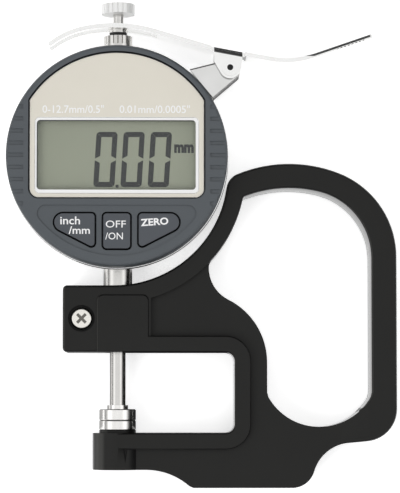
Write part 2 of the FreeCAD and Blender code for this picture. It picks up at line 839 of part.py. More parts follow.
def top_bush():
    bore = d.rod_radius + d.running_gap
    body = turned("top_bush", [
        Corner(bore, d.bush_inner_end),
        Corner(d.bush_neck_radius, d.bush_inner_end),
        Corner(d.bush_neck_radius, d.bush_head_start),
        Corner(d.bush_radius, d.bush_head_start),
        Corner(d.bush_radius, d.bush_top),
        Corner(bore, d.bush_top),
    ])
    knurl(body, d.bush_radius, d.bush_top - d.bush_knurl_height, d.bush_top)


# Levels up the spindle above the bush: stop ring, flanged stud and knob.
def ring_low():
    return d.bush_top + d.ring_gap


def ring_high():
    return ring_low() + d.ring_height


def neck_low():
    return ring_high() + d.stud_height + d.stud_flange_height


def knob_low():
    return neck_low() + d.neck_height


def spindle_rod():
    foot = -d.contact_level + d.disc_height + d.contact_collar_height
    hole = d.contact_stud_radius + d.press_gap
    hole_end = foot + d.contact_stud_length + d.end_play
    turned("spindle_rod", [
        Corner(hole, foot),
        Corner(d.rod_radius, foot),
        Corner(d.rod_radius, ring_low()),
        Corner(d.ring_groove_radius, ring_low()),
        Corner(d.ring_groove_radius, ring_high()),
        Corner(AXIS, ring_high()),
        Corner(AXIS, hole_end),
        Corner(hole, hole_end),
    ])


def bumper_ring():
    inner = d.ring_groove_radius + d.press_gap
    turned("bumper_ring", [
        Corner(inner, ring_low()),
        Corner(d.ring_radius, ring_low()),
        Corner(d.ring_radius, ring_high()),
        Corner(inner, ring_high()),
    ])


def lift_stud():
    flange = ring_high() + d.stud_height
    end = knob_low() + d.neck_in_knob
    turned("lift_stud", [
        Corner(AXIS, ring_high()),
        Corner(d.stud_radius, ring_high()),
        Corner(d.stud_radius, flange),
        Corner(d.stud_flange_radius, flange),
        Corner(d.stud_flange_radius, neck_low()),
        Corner(d.neck_radius, neck_low()),
        Corner(d.neck_radius, end),
        Corner(AXIS, end),
    ])


def lift_knob():
    bore = d.neck_radius + d.press_gap
    bore_end = knob_low() + d.neck_in_knob + d.press_gap
    top = knob_low() + d.knob_height
    body = turned("lift_knob", [
        Corner(bore, knob_low()),
        Corner(d.knob_radius, knob_low()),
        Corner(d.knob_radius, top),
        Corner(AXIS, top),
        Corner(AXIS, bore_end),
        Corner(bore, bore_end),
    ])
    knurl(body, d.knob_radius, knob_low(), top)


# Indicator case: a ring wall open at both ends, with a bright flange at the front and posts inside.
def indicator_case():
    body = new_body("indicator_case")
    wall = sketch_on(body, "wall", up=d.cover_thickness)
    circle(wall, AXIS, AXIS, d.case_radius)
    circle(wall, AXIS, AXIS, d.case_bore)
    add(body, "Pad", wall, d.flange_front - d.cover_thickness)
    flange = sketch_on(body, "flange", up=d.flange_back)
    circle(flange, AXIS, AXIS, d.flange_radius)
    circle(flange, AXIS, AXIS, d.case_bore)
    add(body, "Pad", flange, d.flange_front - d.flange_back)
    soften(body, "Chamfer", d.flange_bevel, on_circle(d.flange_radius))
    post_height = d.board_back - d.cover_thickness
    post = sketch_on(body, "post", up=d.cover_thickness, turned=d.post_turn)
    circle(post, d.post_circle, AXIS, d.post_radius)
    repeat_round(body, add(body, "Pad", post, post_height), 3, 180.0)
    tongue_posts = sketch_on(body, "tongue_posts", up=d.cover_thickness, turned=d.bracket_turn)
    for side in (-1, 1):
        circle(tongue_posts, d.tongue_screw_x, side * d.tongue_screw_y, d.post_radius)
    add(body, "Pad", tongue_posts, post_height)
    hole = d.screw_radius + d.press_gap
    post_hole = sketch_on(body, "post_hole", up=d.cover_thickness, turned=d.post_turn)
    circle(post_hole, d.post_circle, AXIS, hole)
    repeat_round(body, cut(body, post_hole, d.screw_length, flip=True), 3, 180.0)
    tongue_hole = sketch_on(body, "tongue_hole", up=d.cover_thickness, turned=d.bracket_turn)
    for side in (-1, 1):
        circle(tongue_hole, d.tongue_screw_x, side * d.tongue_screw_y, hole)
    cut(body, tongue_hole, d.screw_length, flip=True)
    stem_bore = sketch_on(body, "stem_bore", up=d.axis_height)
    box(stem_bore, AXIS, -d.flange_radius, d.stem_radius + d.press_gap, -d.stem_inner_end)
    turn(body, "Groove", stem_bore)
    bush_bore = sketch_on(body, "bush_bore", up=d.axis_height)
    box(bush_bore, AXIS, d.bush_inner_end, d.bush_neck_radius + d.press_gap, d.flange_radius)
    turn(body, "Groove", bush_bore)
    pin_hole = sketch_on(body, "pin_hole", plane="XZ_Plane")
    circle(pin_hole, d.pin_x, d.axis_height, d.pin_radius + d.press_gap)
    cut(body, pin_hole, 2 * (d.pin_half + d.press_gap), midplane=True)


# Rear cover: lies flush with the frame's back, with the cell's opening and a recess for the bracket.
def back_cover():
    body = new_body("back_cover")
    disc = sketch_on(body, "disc")
    circle(disc, AXIS, AXIS, d.case_radius)
    circle(disc, -d.cell_x, AXIS, d.cap_radius + d.running_gap)
    add(body, "Pad", disc, d.cover_thickness)
    soften(body, "Chamfer", d.cover_bevel,
           lambda edge: on_circle(d.case_radius)(edge) and at_level(AXIS)(edge))
    recess = sketch_on(body, "recess", turned=d.bracket_turn)
    side = d.tongue_half + d.tongue_recess
    box(recess, d.tongue_inner - d.tongue_recess, -side, d.case_radius + 1, side)
    cut(body, recess, d.tongue_level + d.bracket_sheet + d.press_gap, flip=True)
    hole = sketch_on(body, "hole", turned=d.post_turn)
    circle(hole, d.post_circle, AXIS, d.screw_radius + 2 * d.running_gap)
    repeat_round(body, cut(body, hole, d.cover_thickness, flip=True), 3, 180.0)
    seat = sketch_on(body, "seat", turned=d.post_turn)
    circle(seat, d.post_circle, AXIS, d.screw_head_radius + 2 * d.running_gap)
    repeat_round(body, cut(body, seat, d.screw_head_depth, flip=True), 3, 180.0)
    tongue_hole = sketch_on(body, "tongue_hole", turned=d.bracket_turn)
    for side in (-1, 1):
        circle(tongue_hole, d.tongue_screw_x, side * d.tongue_screw_y, d.screw_radius + 2 * d.running_gap)
    cut(body, tongue_hole, d.cover_thickness, flip=True)


# A slotted cheese-head screw with its head towards the back.
def back_screw(body, label, x, y, angle, seat, head_height, end):
    head = sketch_on(body, f"head{label}", up=seat - head_height, turned=angle)
    circle(head, x, y, d.screw_head_radius)
    add(body, "Pad", head, head_height)
    shank = sketch_on(body, f"shank{label}", up=seat, turned=angle)
    circle(shank, x, y, d.screw_radius)
    add(body, "Pad", shank, end - seat)
    slot = sketch_on(body, f"slot{label}", up=seat - head_height, turned=angle)
    half = d.driver_slot_width / 2
    box(slot, x - d.screw_head_radius - 1, y - half, x + d.screw_head_radius + 1, y + half)
    cut(body, slot, d.driver_slot_depth, flip=True)


def screw_end():
    return d.cover_thickness + d.screw_length - d.end_play


def cover_screws():
    for number in range(3):
        body = doc.addObject("PartDesign::Body", f"cover_screw_{number}")
        angle = d.post_turn + 90.0 * number
        back_screw(body, "", d.post_circle, AXIS, angle, d.screw_head_depth, d.screw_head_height, screw_end())
        yield body


def bracket_screws():
    for number, side in enumerate((-1, 1)):
        body = doc.addObject("PartDesign::Body", f"bracket_screw_{number}")
        back_screw(body, "", d.tongue_screw_x, side * d.tongue_screw_y, d.bracket_turn, d.tongue_level,
                   d.tongue_head_height, screw_end())
        yield body


def battery_cap():
    body = new_body("battery_cap")
    disc = sketch_on(body, "disc")
    circle(disc, -d.cell_x, AXIS, d.cap_radius)
    add(body, "Pad", disc, d.cap_thickness)
    slot = sketch_on(body, "slot")
    long = d.coin_slot_length / 2
    wide = d.coin_slot_width / 2
    box(slot, -d.cell_x - long, -wide, -d.cell_x + long, wide)
    cut(body, slot, d.coin_slot_depth, flip=True)


def coin_cell():
    body = new_body("coin_cell", up=d.cap_thickness)
    can = sketch_on(body, "can")
    circle(can, -d.cell_x, AXIS, d.cell_radius)
    add(body, "Pad", can, d.cell_height)
    soften(body, "Chamfer", d.cell_bevel, at_level(d.cell_height))


# A bent strip that carries the cell's current up to the board.
def cell_clip():
    body = new_body("cell_clip")
    side = sketch_on(body, "side", plane="XZ_Plane")
    low = d.cap_thickness + d.cell_height
    high = d.board_back
    left = -d.cell_x - d.clip_reach
    right = -d.cell_x + d.clip_reach
    thick = d.clip_thickness
    outline(side, [
        Corner(left, low),
        Corner(right, low),
        Corner(right, low + thick),
        Corner(left + thick, low + thick),
        Corner(left + thick, high - thick),
        Corner(right, high - thick),
        Corner(right, high),
        Corner(left, high),
    ])
    add(body, "Pad", side, d.clip_width, midplane=True)


def circuit_board():
    body = new_body("circuit_board", up=d.board_back)
    disc = sketch_on(body, "disc")
    circle(disc, AXIS, AXIS, d.case_bore - d.board_gap)
    add(body, "Pad", disc, d.board_thickness)


# Slider: a block on the spindle that the guide pin keeps from turning, and the scale plate on its front.
def slider_block():
    body = new_body("slider_block", up=d.block_back)
    plan = sketch_on(body, "plan")
    box(plan, -d.block_left, -d.block_low, d.block_right, d.block_high)
    add(body, "Pad", plan, d.block_front - d.block_back)
    bores = sketch_on(body, "bores", plane="XZ_Plane")
    circle(bores, AXIS, d.axis_height - d.block_back, d.rod_radius + d.press_gap)
    circle(bores, d.pin_x, d.axis_height - d.block_back, d.pin_radius + d.running_gap)
    cut(body, bores, 4 * d.block_low, midplane=True)


def slider_plate():
    body = new_body("slider_plate", up=d.block_front)
    plan = sketch_on(body, "plan")
    box(plan, -d.block_left, -d.plate_low, d.block_right, d.plate_high)
    add(body, "Pad", plan, d.plate_thickness)


def guide_pin():
    body = new_body("guide_pin", up=d.axis_height)
    end = sketch_on(body, "end", plane="XZ_Plane")
    circle(end, d.pin_x, AXIS, d.pin_radius)
    add(body, "Pad", end, 2 * d.pin_half, midplane=True)


# Return spring: square wire wound round the rod between the slider and the bush.
def return_spring():
    wire = d.spring_wire.value
    radius = d.spring_radius.value
    low = d.block_high.value + wire
    rise = d.bush_inner_end.value - wire - low
    steps = round(d.spring_turns.value * d.spring_steps.value)
    points = []
    for step in range(steps + 1):
        angle = 2 * math.pi * step / d.spring_steps.value
        level = low + rise * step / steps
        points.append(FreeCAD.Vector(radius * math.cos(angle), level, radius * math.sin(angle)))
    diamond = ((1, 0), (0, 1), (-1, 0), (0, -1), (1, 0))
    corners = [points[0] + FreeCAD.Vector(x, y, 0) * wire for x, y in diamond]
    section = Part.Wire(Part.makePolygon(corners))
    coil = doc.addObject("Part::Feature", "return_spring")
    coil.Label = "return_spring"
    coil.Shape = Part.makePolygon(points).makePipeShell([section], True, False, 1)
    bind(coil, "Placement.Base.z", d.axis_height)
    parts.append(coil)


# The panel's outline: upright sides, a round top that follows the bezel and round lower corners.
def panel_outline(sketch, grow):
    side = d.panel_side + grow
    arc = d.panel_arc + grow
    bottom = -d.panel_bottom - grow
    corner = d.panel_corner + grow
    shoulder = d.panel_shoulder
    across = side.value - shoulder.value
    up = math.sqrt((arc.value - shoulder.value)**2 - across**2)
    out = arc.value / (arc.value - shoulder.value)
    outline(sketch, [
        Corner(-side + corner, bottom),
        Corner(side - corner, bottom, Bend(corner, LEFT)),
        Corner(side, bottom + corner),
        smooth(side, up, Bend(shoulder, LEFT)),
        smooth(across * out, up * out, Bend(arc, LEFT, (AXIS, AXIS))),
        smooth(-across * out, up * out, Bend(shoulder, LEFT)),
        smooth(-side, up),
        Corner(-side, bottom + corner, Bend(corner, LEFT)),
    ])


def window_outline(sketch, shrink):
    wide = d.window_half_width - shrink
    high = d.window_half_height - shrink
    corner = d.window_corner
    outline(sketch, [
        Corner(-wide + corner, -high),
        Corner(wide - corner, -high, Bend(corner, LEFT)),
        Corner(wide, -high + corner),
        Corner(wide, high - corner, Bend(corner, LEFT)),
        Corner(wide - corner, high),
        Corner(-wide + corner, high, Bend(corner, LEFT)),
        Corner(-wide, high - corner),
        Corner(-wide, -high + corner, Bend(corner, LEFT)),
    ])


# The outer keys: flat top, upright inner side and a slanted lower edge that ends in a round nose.
def side_key_outline(sketch, side, grow):
    way = LEFT if side > 0 else RIGHT
    nose = d.key_nose_radius + grow
    top = -d.key_top + grow
    corner = d.key_corner + grow
    inner = d.key_inner - grow
    outline(sketch, [
        Corner(side * (inner + corner), top, Bend(corner, way)),
        Corner(side * inner, top - corner),
        smooth(side * inner, -d.key_side_low, Bend(corner, way)),
        smooth(side * (inner.value + 1.45 * corner.value), -d.key_side_low.value - 0.9 * corner.value),
        smooth(side * (d.key_nose_x.value + 0.46 * nose.value), top.value - 1.89 * nose.value,
               Bend(nose, way, (side * d.key_nose_x, None))),
        smooth(side * d.key_nose_x.value, top),
    ])


def middle_key_outline(sketch, grow):
    wide = d.key_mid_half + grow
    top = -d.key_top + grow
    bottom = -d.key_mid_bottom - grow
    corner = d.key_corner + grow
    outline(sketch, [
        Corner(-wide + corner, bottom),
        Corner(wide - corner, bottom, Bend(corner, LEFT)),
        Corner(wide, bottom + corner),
        Corner(wide, top - corner, Bend(corner, LEFT)),
        Corner(wide - corner, top),
        Corner(-wide + corner, top, Bend(corner, LEFT)),
        Corner(-wide, top - corner),
        Corner(-wide, bottom + corner, Bend(corner, LEFT)),
    ])


# Bezel: a moulded cap with the panel's seat, the key recess and grip slots at both sides.
def front_bezel():
    body = new_body("front_bezel", up=d.flange_front)
    depth = d.bezel_front - d.flange_front
    rim = sketch_on(body, "rim")
    circle(rim, AXIS, AXIS, d.bezel_radius)
    add(body, "Pad", rim, depth)
    soften(body, "Chamfer", d.bezel_round, at_level(depth))
    cavity = sketch_on(body, "cavity")
    circle(cavity, AXIS, AXIS, d.bezel_radius - d.bezel_wall)
    cut(body, cavity, depth - d.bezel_face, flip=True)
    seat = sketch_on(body, "seat", up=depth)
    panel_outline(seat, d.panel_gap)
    cut(body, seat, d.panel_seat)
    opening = sketch_on(body, "opening", up=depth)
    panel_outline(opening, -d.panel_ledge)
    cut(body, opening, d.bezel_face)
    recess = sketch_on(body, "recess", up=depth)
    outline(recess, [
        smooth(-20.0, -d.key_recess_top, Bend(d.key_recess_corner, LEFT)),
        smooth(-22.3, -16.3, Bend(d.key_recess_radius, LEFT, (AXIS, AXIS))),
        smooth(22.3, -16.3, Bend(d.key_recess_corner, LEFT)),
        smooth(20.0, -d.key_recess_top),
    ])
    cut(body, recess, d.key_recess_depth)
    keyways = sketch_on(body, "keyways", up=depth)
    for side in (-1, 1):
        side_key_outline(keyways, side, d.key_gap)
    middle_key_outline(keyways, d.key_gap)
    cut(body, keyways, d.bezel_face)
    slots = sketch_on(body, "slots", up=depth)
    first = -d.grip_slot_pitch * (d.grip_slot_count - 1) / 2
    half = d.grip_slot_height / 2
    box(slots, d.grip_slot_inner, first - half, d.bezel_radius + 1, first + half)
    box(slots, -d.bezel_radius - 1, first - half, -d.grip_slot_inner, first + half)
    repeat_line(body, cut(body, slots, d.grip_slot_depth), d.grip_slot_count, d.grip_slot_pitch)


def face_panel():
    body = new_body("face_panel", up=d.bezel_front - d.panel_seat)
    plan = sketch_on(body, "plan")
    panel_outline(plan, AXIS)
    window_outline(plan, AXIS)
    add(body, "Pad", plan, d.panel_thickness)
    soften(body, "Chamfer", d.panel_bevel, at_level(d.panel_thickness))


def display_lens():
    body = new_body("display_lens", up=d.bezel_front - d.panel_seat + d.lens_back)
    plan = sketch_on(body, "plan")
    window_outline(plan, d.press_gap)
    add(body, "Pad", plan, d.lens_thickness)


def glass_back():
    return d.bezel_front - d.bezel_face - d.glass_thickness


def lcd_glass():
    body = new_body("lcd_glass", up=glass_back())
    plan = sketch_on(body, "plan")
    box(plan, -d.glass_half_width, -d.glass_half_height, d.glass_half_width, d.glass_half_height)
    add(body, "Pad", plan, d.glass_thickness)


def brick(name, left, low, back, wide, high, deep):
    block = doc.addObject("Part::Box", name)
    for key, size in (("Length", wide), ("Width", high), ("Height", deep)):
        bind(block, key, size)
    for key, size in (("x", left), ("y", low), ("z", back)):
        bind(block, f"Placement.Base.{key}", size)
    return block


def group(name, members):
    bundle = doc.addObject("Part::Compound", name)
    bundle.Label = name
    bundle.Links = list(members)
    parts.append(bundle)


def board_front():
    return d.board_back + d.board_thickness


def lcd_strips():
    for number, low in enumerate((-d.glass_half_height + 1, d.glass_half_height - 1 - d.strip_width)):
        yield brick(f"lcd_strip_{number}", -d.strip_half_width, low, board_front(),
                    2 * d.strip_half_width, d.strip_width, glass_back() - board_front())


def key_back():
    return d.bezel_front - d.bezel_face - d.key_flange_gap - d.key_flange_height


def key_switches():
    size = 2 * d.switch_half
    height = key_back() - d.key_travel - d.running_gap - board_front()
    for number, x in enumerate((-d.switch_x, AXIS, d.switch_x)):
        yield brick(f"key_switch_{number}", x - d.switch_half, -d.switch_y - d.switch_half, board_front(),
                    size, size, height)


# A key: a cap that stands in its opening, on a flange that the bezel holds back.
def key(name, draw):
    body = new_body(name, up=key_back())
    cap = sketch_on(body, "cap")
    draw(cap, AXIS)
    add(body, "Pad", cap, d.key_front - key_back())
    soften(body, "Chamfer", d.key_round, at_level(d.key_front - key_back()))
    flange = sketch_on(body, "flange")
    draw(flange, d.key_flange)
    add(body, "Pad", flange, d.key_flange_height)


# Bracket: a folded sheet whose two plates carry the pivot, with a tongue screwed to the case's back.
def lever_bracket():
    body = new_body("lever_bracket")
    eye = d.bracket_eye
    plates = sketch_on(body, "plates", up=d.axis_height)
    outline(plates, [
        Corner(d.bracket_top_x, d.bracket_top_y),
        Corner(d.bracket_low_x, d.bracket_low_y),
        Corner(d.bracket_fold_x, d.bracket_fold_y),
        Corner(d.pivot_x + eye, d.pivot_y, Bend(eye, LEFT)),
        Corner(d.pivot_x, d.pivot_y + eye),
        Corner(d.bracket_knee_x, d.bracket_knee_y),
    ])
    add(body, "Pad", plates, 2 * d.bracket_half, midplane=True)
    run_x = d.bracket_fold_x - d.bracket_low_x
    run_y = d.bracket_fold_y - d.bracket_low_y
    run = root(run_x * run_x + run_y * run_y)
    along = (run_x / run, run_y / run)
    across = (-along[1], along[0])
    reach = run + d.bracket_eye

    def beside(x, y, forward, sideways):
        return Corner(x + along[0] * forward + across[0] * sideways,
                      y + along[1] * forward + across[1] * sideways)

    gap = sketch_on(body, "gap", up=d.axis_height)
    outline(gap, [
        beside(d.bracket_low_x, d.bracket_low_y, -reach, d.bracket_sheet),
        beside(d.bracket_fold_x, d.bracket_fold_y, reach, d.bracket_sheet),
        beside(d.bracket_fold_x, d.bracket_fold_y, reach, 2 * reach),
        beside(d.bracket_low_x, d.bracket_low_y, -reach, 2 * reach),
    ])
    cut(body, gap, 2 * (d.bracket_half - d.bracket_sheet), midplane=True)
    joggle = sketch_on(body, "joggle", up=d.tongue_level, turned=d.bracket_turn)
    low_corner = d.bracket_low_x * cosine(d.bracket_turn) + d.bracket_low_y * sine(d.bracket_turn)
    joggle_inner = low_corner - d.joggle_bite
    joggle_outer = joggle_inner + d.bracket_sheet
    box(joggle, joggle_inner, -d.joggle_half, joggle_outer, d.joggle_half)
    add(body, "Pad", joggle, d.axis_height - d.bracket_half + d.bracket_sheet - d.tongue_level)
    tongue = sketch_on(body, "tongue", up=d.tongue_level, turned=d.bracket_turn)
    outline(tongue, [
        Corner(d.tongue_inner, -d.tongue_half),
        Corner(d.case_radius, -d.tongue_half),
        Corner(joggle_outer, -d.joggle_half),
        Corner(joggle_outer, d.joggle_half),
        Corner(d.case_radius, d.tongue_half),
        Corner(d.tongue_inner, d.tongue_half),
    ])
    add(body, "Pad", tongue, d.bracket_sheet)
    holes = sketch_on(body, "holes", up=d.tongue_level, turned=d.bracket_turn)
    for side in (-1, 1):
        circle(holes, d.tongue_screw_x, side * d.tongue_screw_y, d.screw_radius + d.running_gap)
    cut(body, holes, d.bracket_sheet, flip=True)
    pivot = sketch_on(body, "pivot", up=d.axis_height)
    circle(pivot, d.pivot_x, d.pivot_y, d.rivet_radius + d.press_gap)
    cut(body, pivot, 4 * d.bracket_half, midplane=True)


def pivot_rivet():
    body = new_body("pivot_rivet", up=d.axis_height)
    reach = d.lever_width / 2 + d.running_gap
    shank = sketch_on(body, "shank")
    circle(shank, d.pivot_x, d.pivot_y, d.rivet_radius)
    add(body, "Pad", shank, 2 * (reach + d.rivet_head_height), midplane=True)
    head = sketch_on(body, "head", up=reach)
    circle(head, d.pivot_x, d.pivot_y, d.rivet_head)
    mirror(body, add(body, "Pad", head, d.rivet_head_height))
    hole = sketch_on(body, "hole")
    circle(hole, d.pivot_x, d.pivot_y, d.rivet_hole)
    cut(body, hole, 4 * reach, midplane=True)


def flat_sketch(name):
    sketch = doc.addObject("Sketcher::SketchObject", name)
    bind(sketch, "Placement.Base.z", d.axis_height)
    return sketch


def extrude(name, base, length):
    solid = doc.addObject("Part::Extrusion", name)
    solid.Base = base
    solid.DirMode = "Custom"
    solid.Dir = FreeCAD.Vector(0, 0, 1)
    solid.Symmetric = True
    solid.Solid = True
    bind(solid, "LengthFwd", length)
    return solid


def less(name, base, tool):
    result = doc.addObject("Part::Cut", name)
    result.Base = base
    result.Tool = tool
    return result


# Notches in both sides of the strip, at both ends of the folds where the ears are bent down.
def ear_reliefs():
    front = d.axis_height + d.lever_width / 2 - d.ear_relief_depth
    rear = d.axis_height - d.lever_width / 2 - 1
    for number, left in enumerate((d.ear_left - d.ear_relief_width, d.ear_right)):
        for side, back in (("front", front), ("rear", rear)):
            yield brick(f"ear_relief_{side}_{number}", left, d.pivot_y, back,
                        d.ear_relief_width, d.lever_crown_rise, d.ear_relief_depth + 1)


# The numbers of the edges along the outside of both folds.
def fold_edges(shape):
    for number, edge in enumerate(shape.Edges, 1):
        ends = [vertex.Point for vertex in edge.Vertexes]
        between = all(d.ear_left.value - 0.01 < p.x < d.ear_right.value + 0.01 for p in ends)
        outside = all(abs(abs(p.z - d.axis_height.value) - d.lever_width.value / 2) < 1e-4 for p in ends)
        above = edge.CenterOfMass.y > d.ear_top_right.value
        if between and outside and above and edge.Length > d.ear_bend.value:
            yield number


# Lever: a bent strip, forked at the spindle, with two ears folded down to the pivot.
def lever_arm():
    line = flat_sketch("lever_line")
    crown = (-d.lever_crown_x, d.lever_crown_y - d.lever_crown_bend)
    outline(line, [
        Corner(-d.lever_tip_x, d.lever_tip_y, Bend(d.lever_tip_bend, RIGHT)),
        smooth(-10.15, 36.6, Bend(d.lever_crown_bend, RIGHT, crown)),
        smooth(9.9, 36.05),
        Corner(d.lever_knee_x, d.lever_knee_y),
        Corner(d.lever_valley_x, d.lever_valley_y, Bend(d.lever_valley_bend, LEFT)),
        smooth(54.8, 29.25),
        Corner(d.lever_end_x, d.lever_end_y),
    ], closed=False)
    band = doc.addObject("Part::Offset2D", "lever_band")
    band.Source = line
    band.Fill = True
    bind(band, "Value", d.lever_thickness / 2)
    strip = extrude("lever_strip", band, d.lever_width)
    tall = d.lever_crown_y + d.lever_tip_x
    left = -2 * d.lever_tip_x
    fork = brick("lever_fork", left, AXIS, d.axis_height - d.fork_slot / 2,
                 d.fork_depth - left, tall, d.fork_slot)
    ear_plan = flat_sketch("lever_ear_plan")
    outline(ear_plan, [
        Corner(d.ear_left, d.ear_top_left),
        Corner(d.ear_right, d.ear_top_right),
        Corner(d.ear_right, d.ear_side_right),
        smooth(34.3, 25.3, Bend(d.ear_round, RIGHT, (d.pivot_x, d.pivot_y))),
        smooth(28.75, 24.3),
        Corner(d.ear_left, d.ear_side_left),
    ])
    between = 2 * (d.bracket_half + d.ear_gap)
    ears = less(
        "lever_ears",
        extrude("lever_ear_block", ear_plan, d.lever_width),
        brick("lever_ear_gap", AXIS, AXIS, d.axis_height - between / 2, d.lever_end_x, tall, between),
    )
    reliefs = doc.addObject("Part::Compound", "lever_ear_reliefs")
    reliefs.Links = list(ear_reliefs())
    blank = doc.addObject("Part::MultiFuse", "lever_blank")
    blank.Shapes = [less("lever_notched", less("lever_forked", strip, fork), reliefs), ears]
    blank.Refine = True
    doc.recompute()
    folded = doc.addObject("Part::Fillet", "lever_folded")
    folded.Base = blank
    folded.Edges = [(number, d.ear_bend.value, d.ear_bend.value) for number in fold_edges(blank.Shape)]
    pin = doc.addObject("Part::Cylinder", "lever_pin_hole")
    bind(pin, "Radius", d.rivet_radius + d.running_gap)
    bind(pin, "Height", 2 * d.lever_width)
    bind(pin, "Placement.Base.x", d.pivot_x)
    bind(pin, "Placement.Base.y", d.pivot_y)
    bind(pin, "Placement.Base.z", d.axis_height - d.lever_width)
    lever = less("lever_arm", folded, pin)
    lever.Label = "lever_arm"
    parts.append(lever)


frame_casting()
clamp_screw()
anvil_disc()
contact_disc()
stem_tube()
top_bush()
spindle_rod()
bumper_ring()
lift_stud()
lift_knob()
indicator_case()
back_cover()
group("cover_screws", cover_screws())
battery_cap()
coin_cell()
cell_clip()
circuit_board()
slider_block()
slider_plate()
guide_pin()
return_spring()
front_bezel()
face_panel()
display_lens()
lcd_glass()
group("lcd_strips", lcd_strips())
group("key_switches", key_switches())
key("key_unit", lambda sketch, grow: side_key_outline(sketch, -1, grow))
key("key_power", middle_key_outline)
key("key_zero", lambda sketch, grow: side_key_outline(sketch, 1, grow))
lever_bracket()
group("bracket_screws", bracket_screws())
pivot_rivet()
lever_arm()

doc.recompute()
for item in doc.Objects:
    assert "Invalid" not in item.State and "Error" not in item.State, f"{item.Name}: {item.State}"
for item in parts:
    assert not item.Shape.isNull() and item.Shape.isValid(), item.Label
os.makedirs("parts", exist_ok=True)
for item in parts:
    item.Shape.exportStep(f"parts/{item.Label}.step")
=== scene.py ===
import json
import math

import bmesh
import bpy
from mathutils import Matrix, Vector


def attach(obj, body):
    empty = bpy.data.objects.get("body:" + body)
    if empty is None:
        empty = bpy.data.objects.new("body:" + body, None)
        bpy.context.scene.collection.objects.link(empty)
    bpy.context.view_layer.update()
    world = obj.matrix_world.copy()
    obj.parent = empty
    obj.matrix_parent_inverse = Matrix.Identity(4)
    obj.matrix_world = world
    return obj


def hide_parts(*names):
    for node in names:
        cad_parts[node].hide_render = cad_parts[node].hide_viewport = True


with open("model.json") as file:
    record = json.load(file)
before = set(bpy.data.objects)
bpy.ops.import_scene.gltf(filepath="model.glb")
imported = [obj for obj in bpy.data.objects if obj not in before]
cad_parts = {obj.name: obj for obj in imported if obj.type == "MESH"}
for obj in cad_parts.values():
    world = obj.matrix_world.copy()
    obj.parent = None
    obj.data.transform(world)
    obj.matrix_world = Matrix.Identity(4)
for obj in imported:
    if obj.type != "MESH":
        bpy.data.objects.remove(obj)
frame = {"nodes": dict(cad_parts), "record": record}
nodes = frame["nodes"]
behaviour = frame["record"]["behaviour"]
bodyOf = {name: body for body, names in behaviour["bodies"].items() for name in names}
pivot = next(joint["pos_m"] for joint in behaviour["joints"] if joint["name"] == "lever_pivot")
mm = 0.001
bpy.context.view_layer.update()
print("frame loaded:", len(nodes), "nodes")


# A value in a material. Plain arithmetic on it adds Math nodes.
class Signal:
    def __init__(self, tree, socket):
        self.tree = tree
        self.socket = socket

    def combine(self, operation, *values):
        node = self.tree.nodes.new("ShaderNodeMath")
        node.operation = operation
        for slot, value in zip(node.inputs, values):
            plug(self.tree, slot, value)
        return Signal(self.tree, node.outputs[0])

    def __add__(self, other):
        return self.combine("ADD", self, other)

    def __sub__(self, other):
        return self.combine("SUBTRACT", self, other)

    def __rsub__(self, other):
        return self.combine("SUBTRACT", other, self)

    def __mul__(self, other):
        return self.combine("MULTIPLY", self, other)

    def __truediv__(self, other):
        return self.combine("DIVIDE", self, other)

    def __pow__(self, other):
        return self.combine("POWER", self, other)

    def __rpow__(self, other):
        return self.combine("POWER", other, self)

    def __abs__(self):
        return self.combine("ABSOLUTE", self)

    __radd__ = __add__
    __rmul__ = __mul__

    # One between low and high, falling to nothing over the soft width outside them.
    def band(self, low, high, soft):
        middle = (low + high) / 2
        inside = ((high - low) / 2 + soft - abs(self - middle)) / soft
        return self.combine("MINIMUM", self.combine("MAXIMUM", inside, 0.0), 1.0)


def plug(tree, slot, value):
    if isinstance(value, Signal):
        tree.links.new(value.socket, slot)
    else:
        slot.default_value = value


# The nodes of a material or of the world.
class Graph:
    def __init__(self, tree):
        self.tree = tree

    def node(self, kind, settings=None, inputs=None, output=0):
        node = self.tree.nodes.new(kind)
        for key, value in (settings or {}).items():
            setattr(node, key, value)
        for key, value in (inputs or {}).items():
            plug(self.tree, node.inputs[key], value)
        return Signal(self.tree, node.outputs[output])

    # One part of a point's place, or of the direction that the surface faces.
    def part(self, axis, output="Object"):
        spot = self.node("ShaderNodeTexCoord", output=output)
        return self.node("ShaderNodeSeparateXYZ", inputs={0: spot}, output=axis)

    # The Mix node's colour sockets are its seventh and eighth inputs and third output.
    def blend(self, factor, first, second):
        colours = [shade if isinstance(shade, Signal) else (*shade, 1) for shade in (first, second)]
        inputs = {0: factor, 6: colours[0], 7: colours[1]}
        return self.node("ShaderNodeMix", {"data_type": "RGBA"}, inputs, output=2)


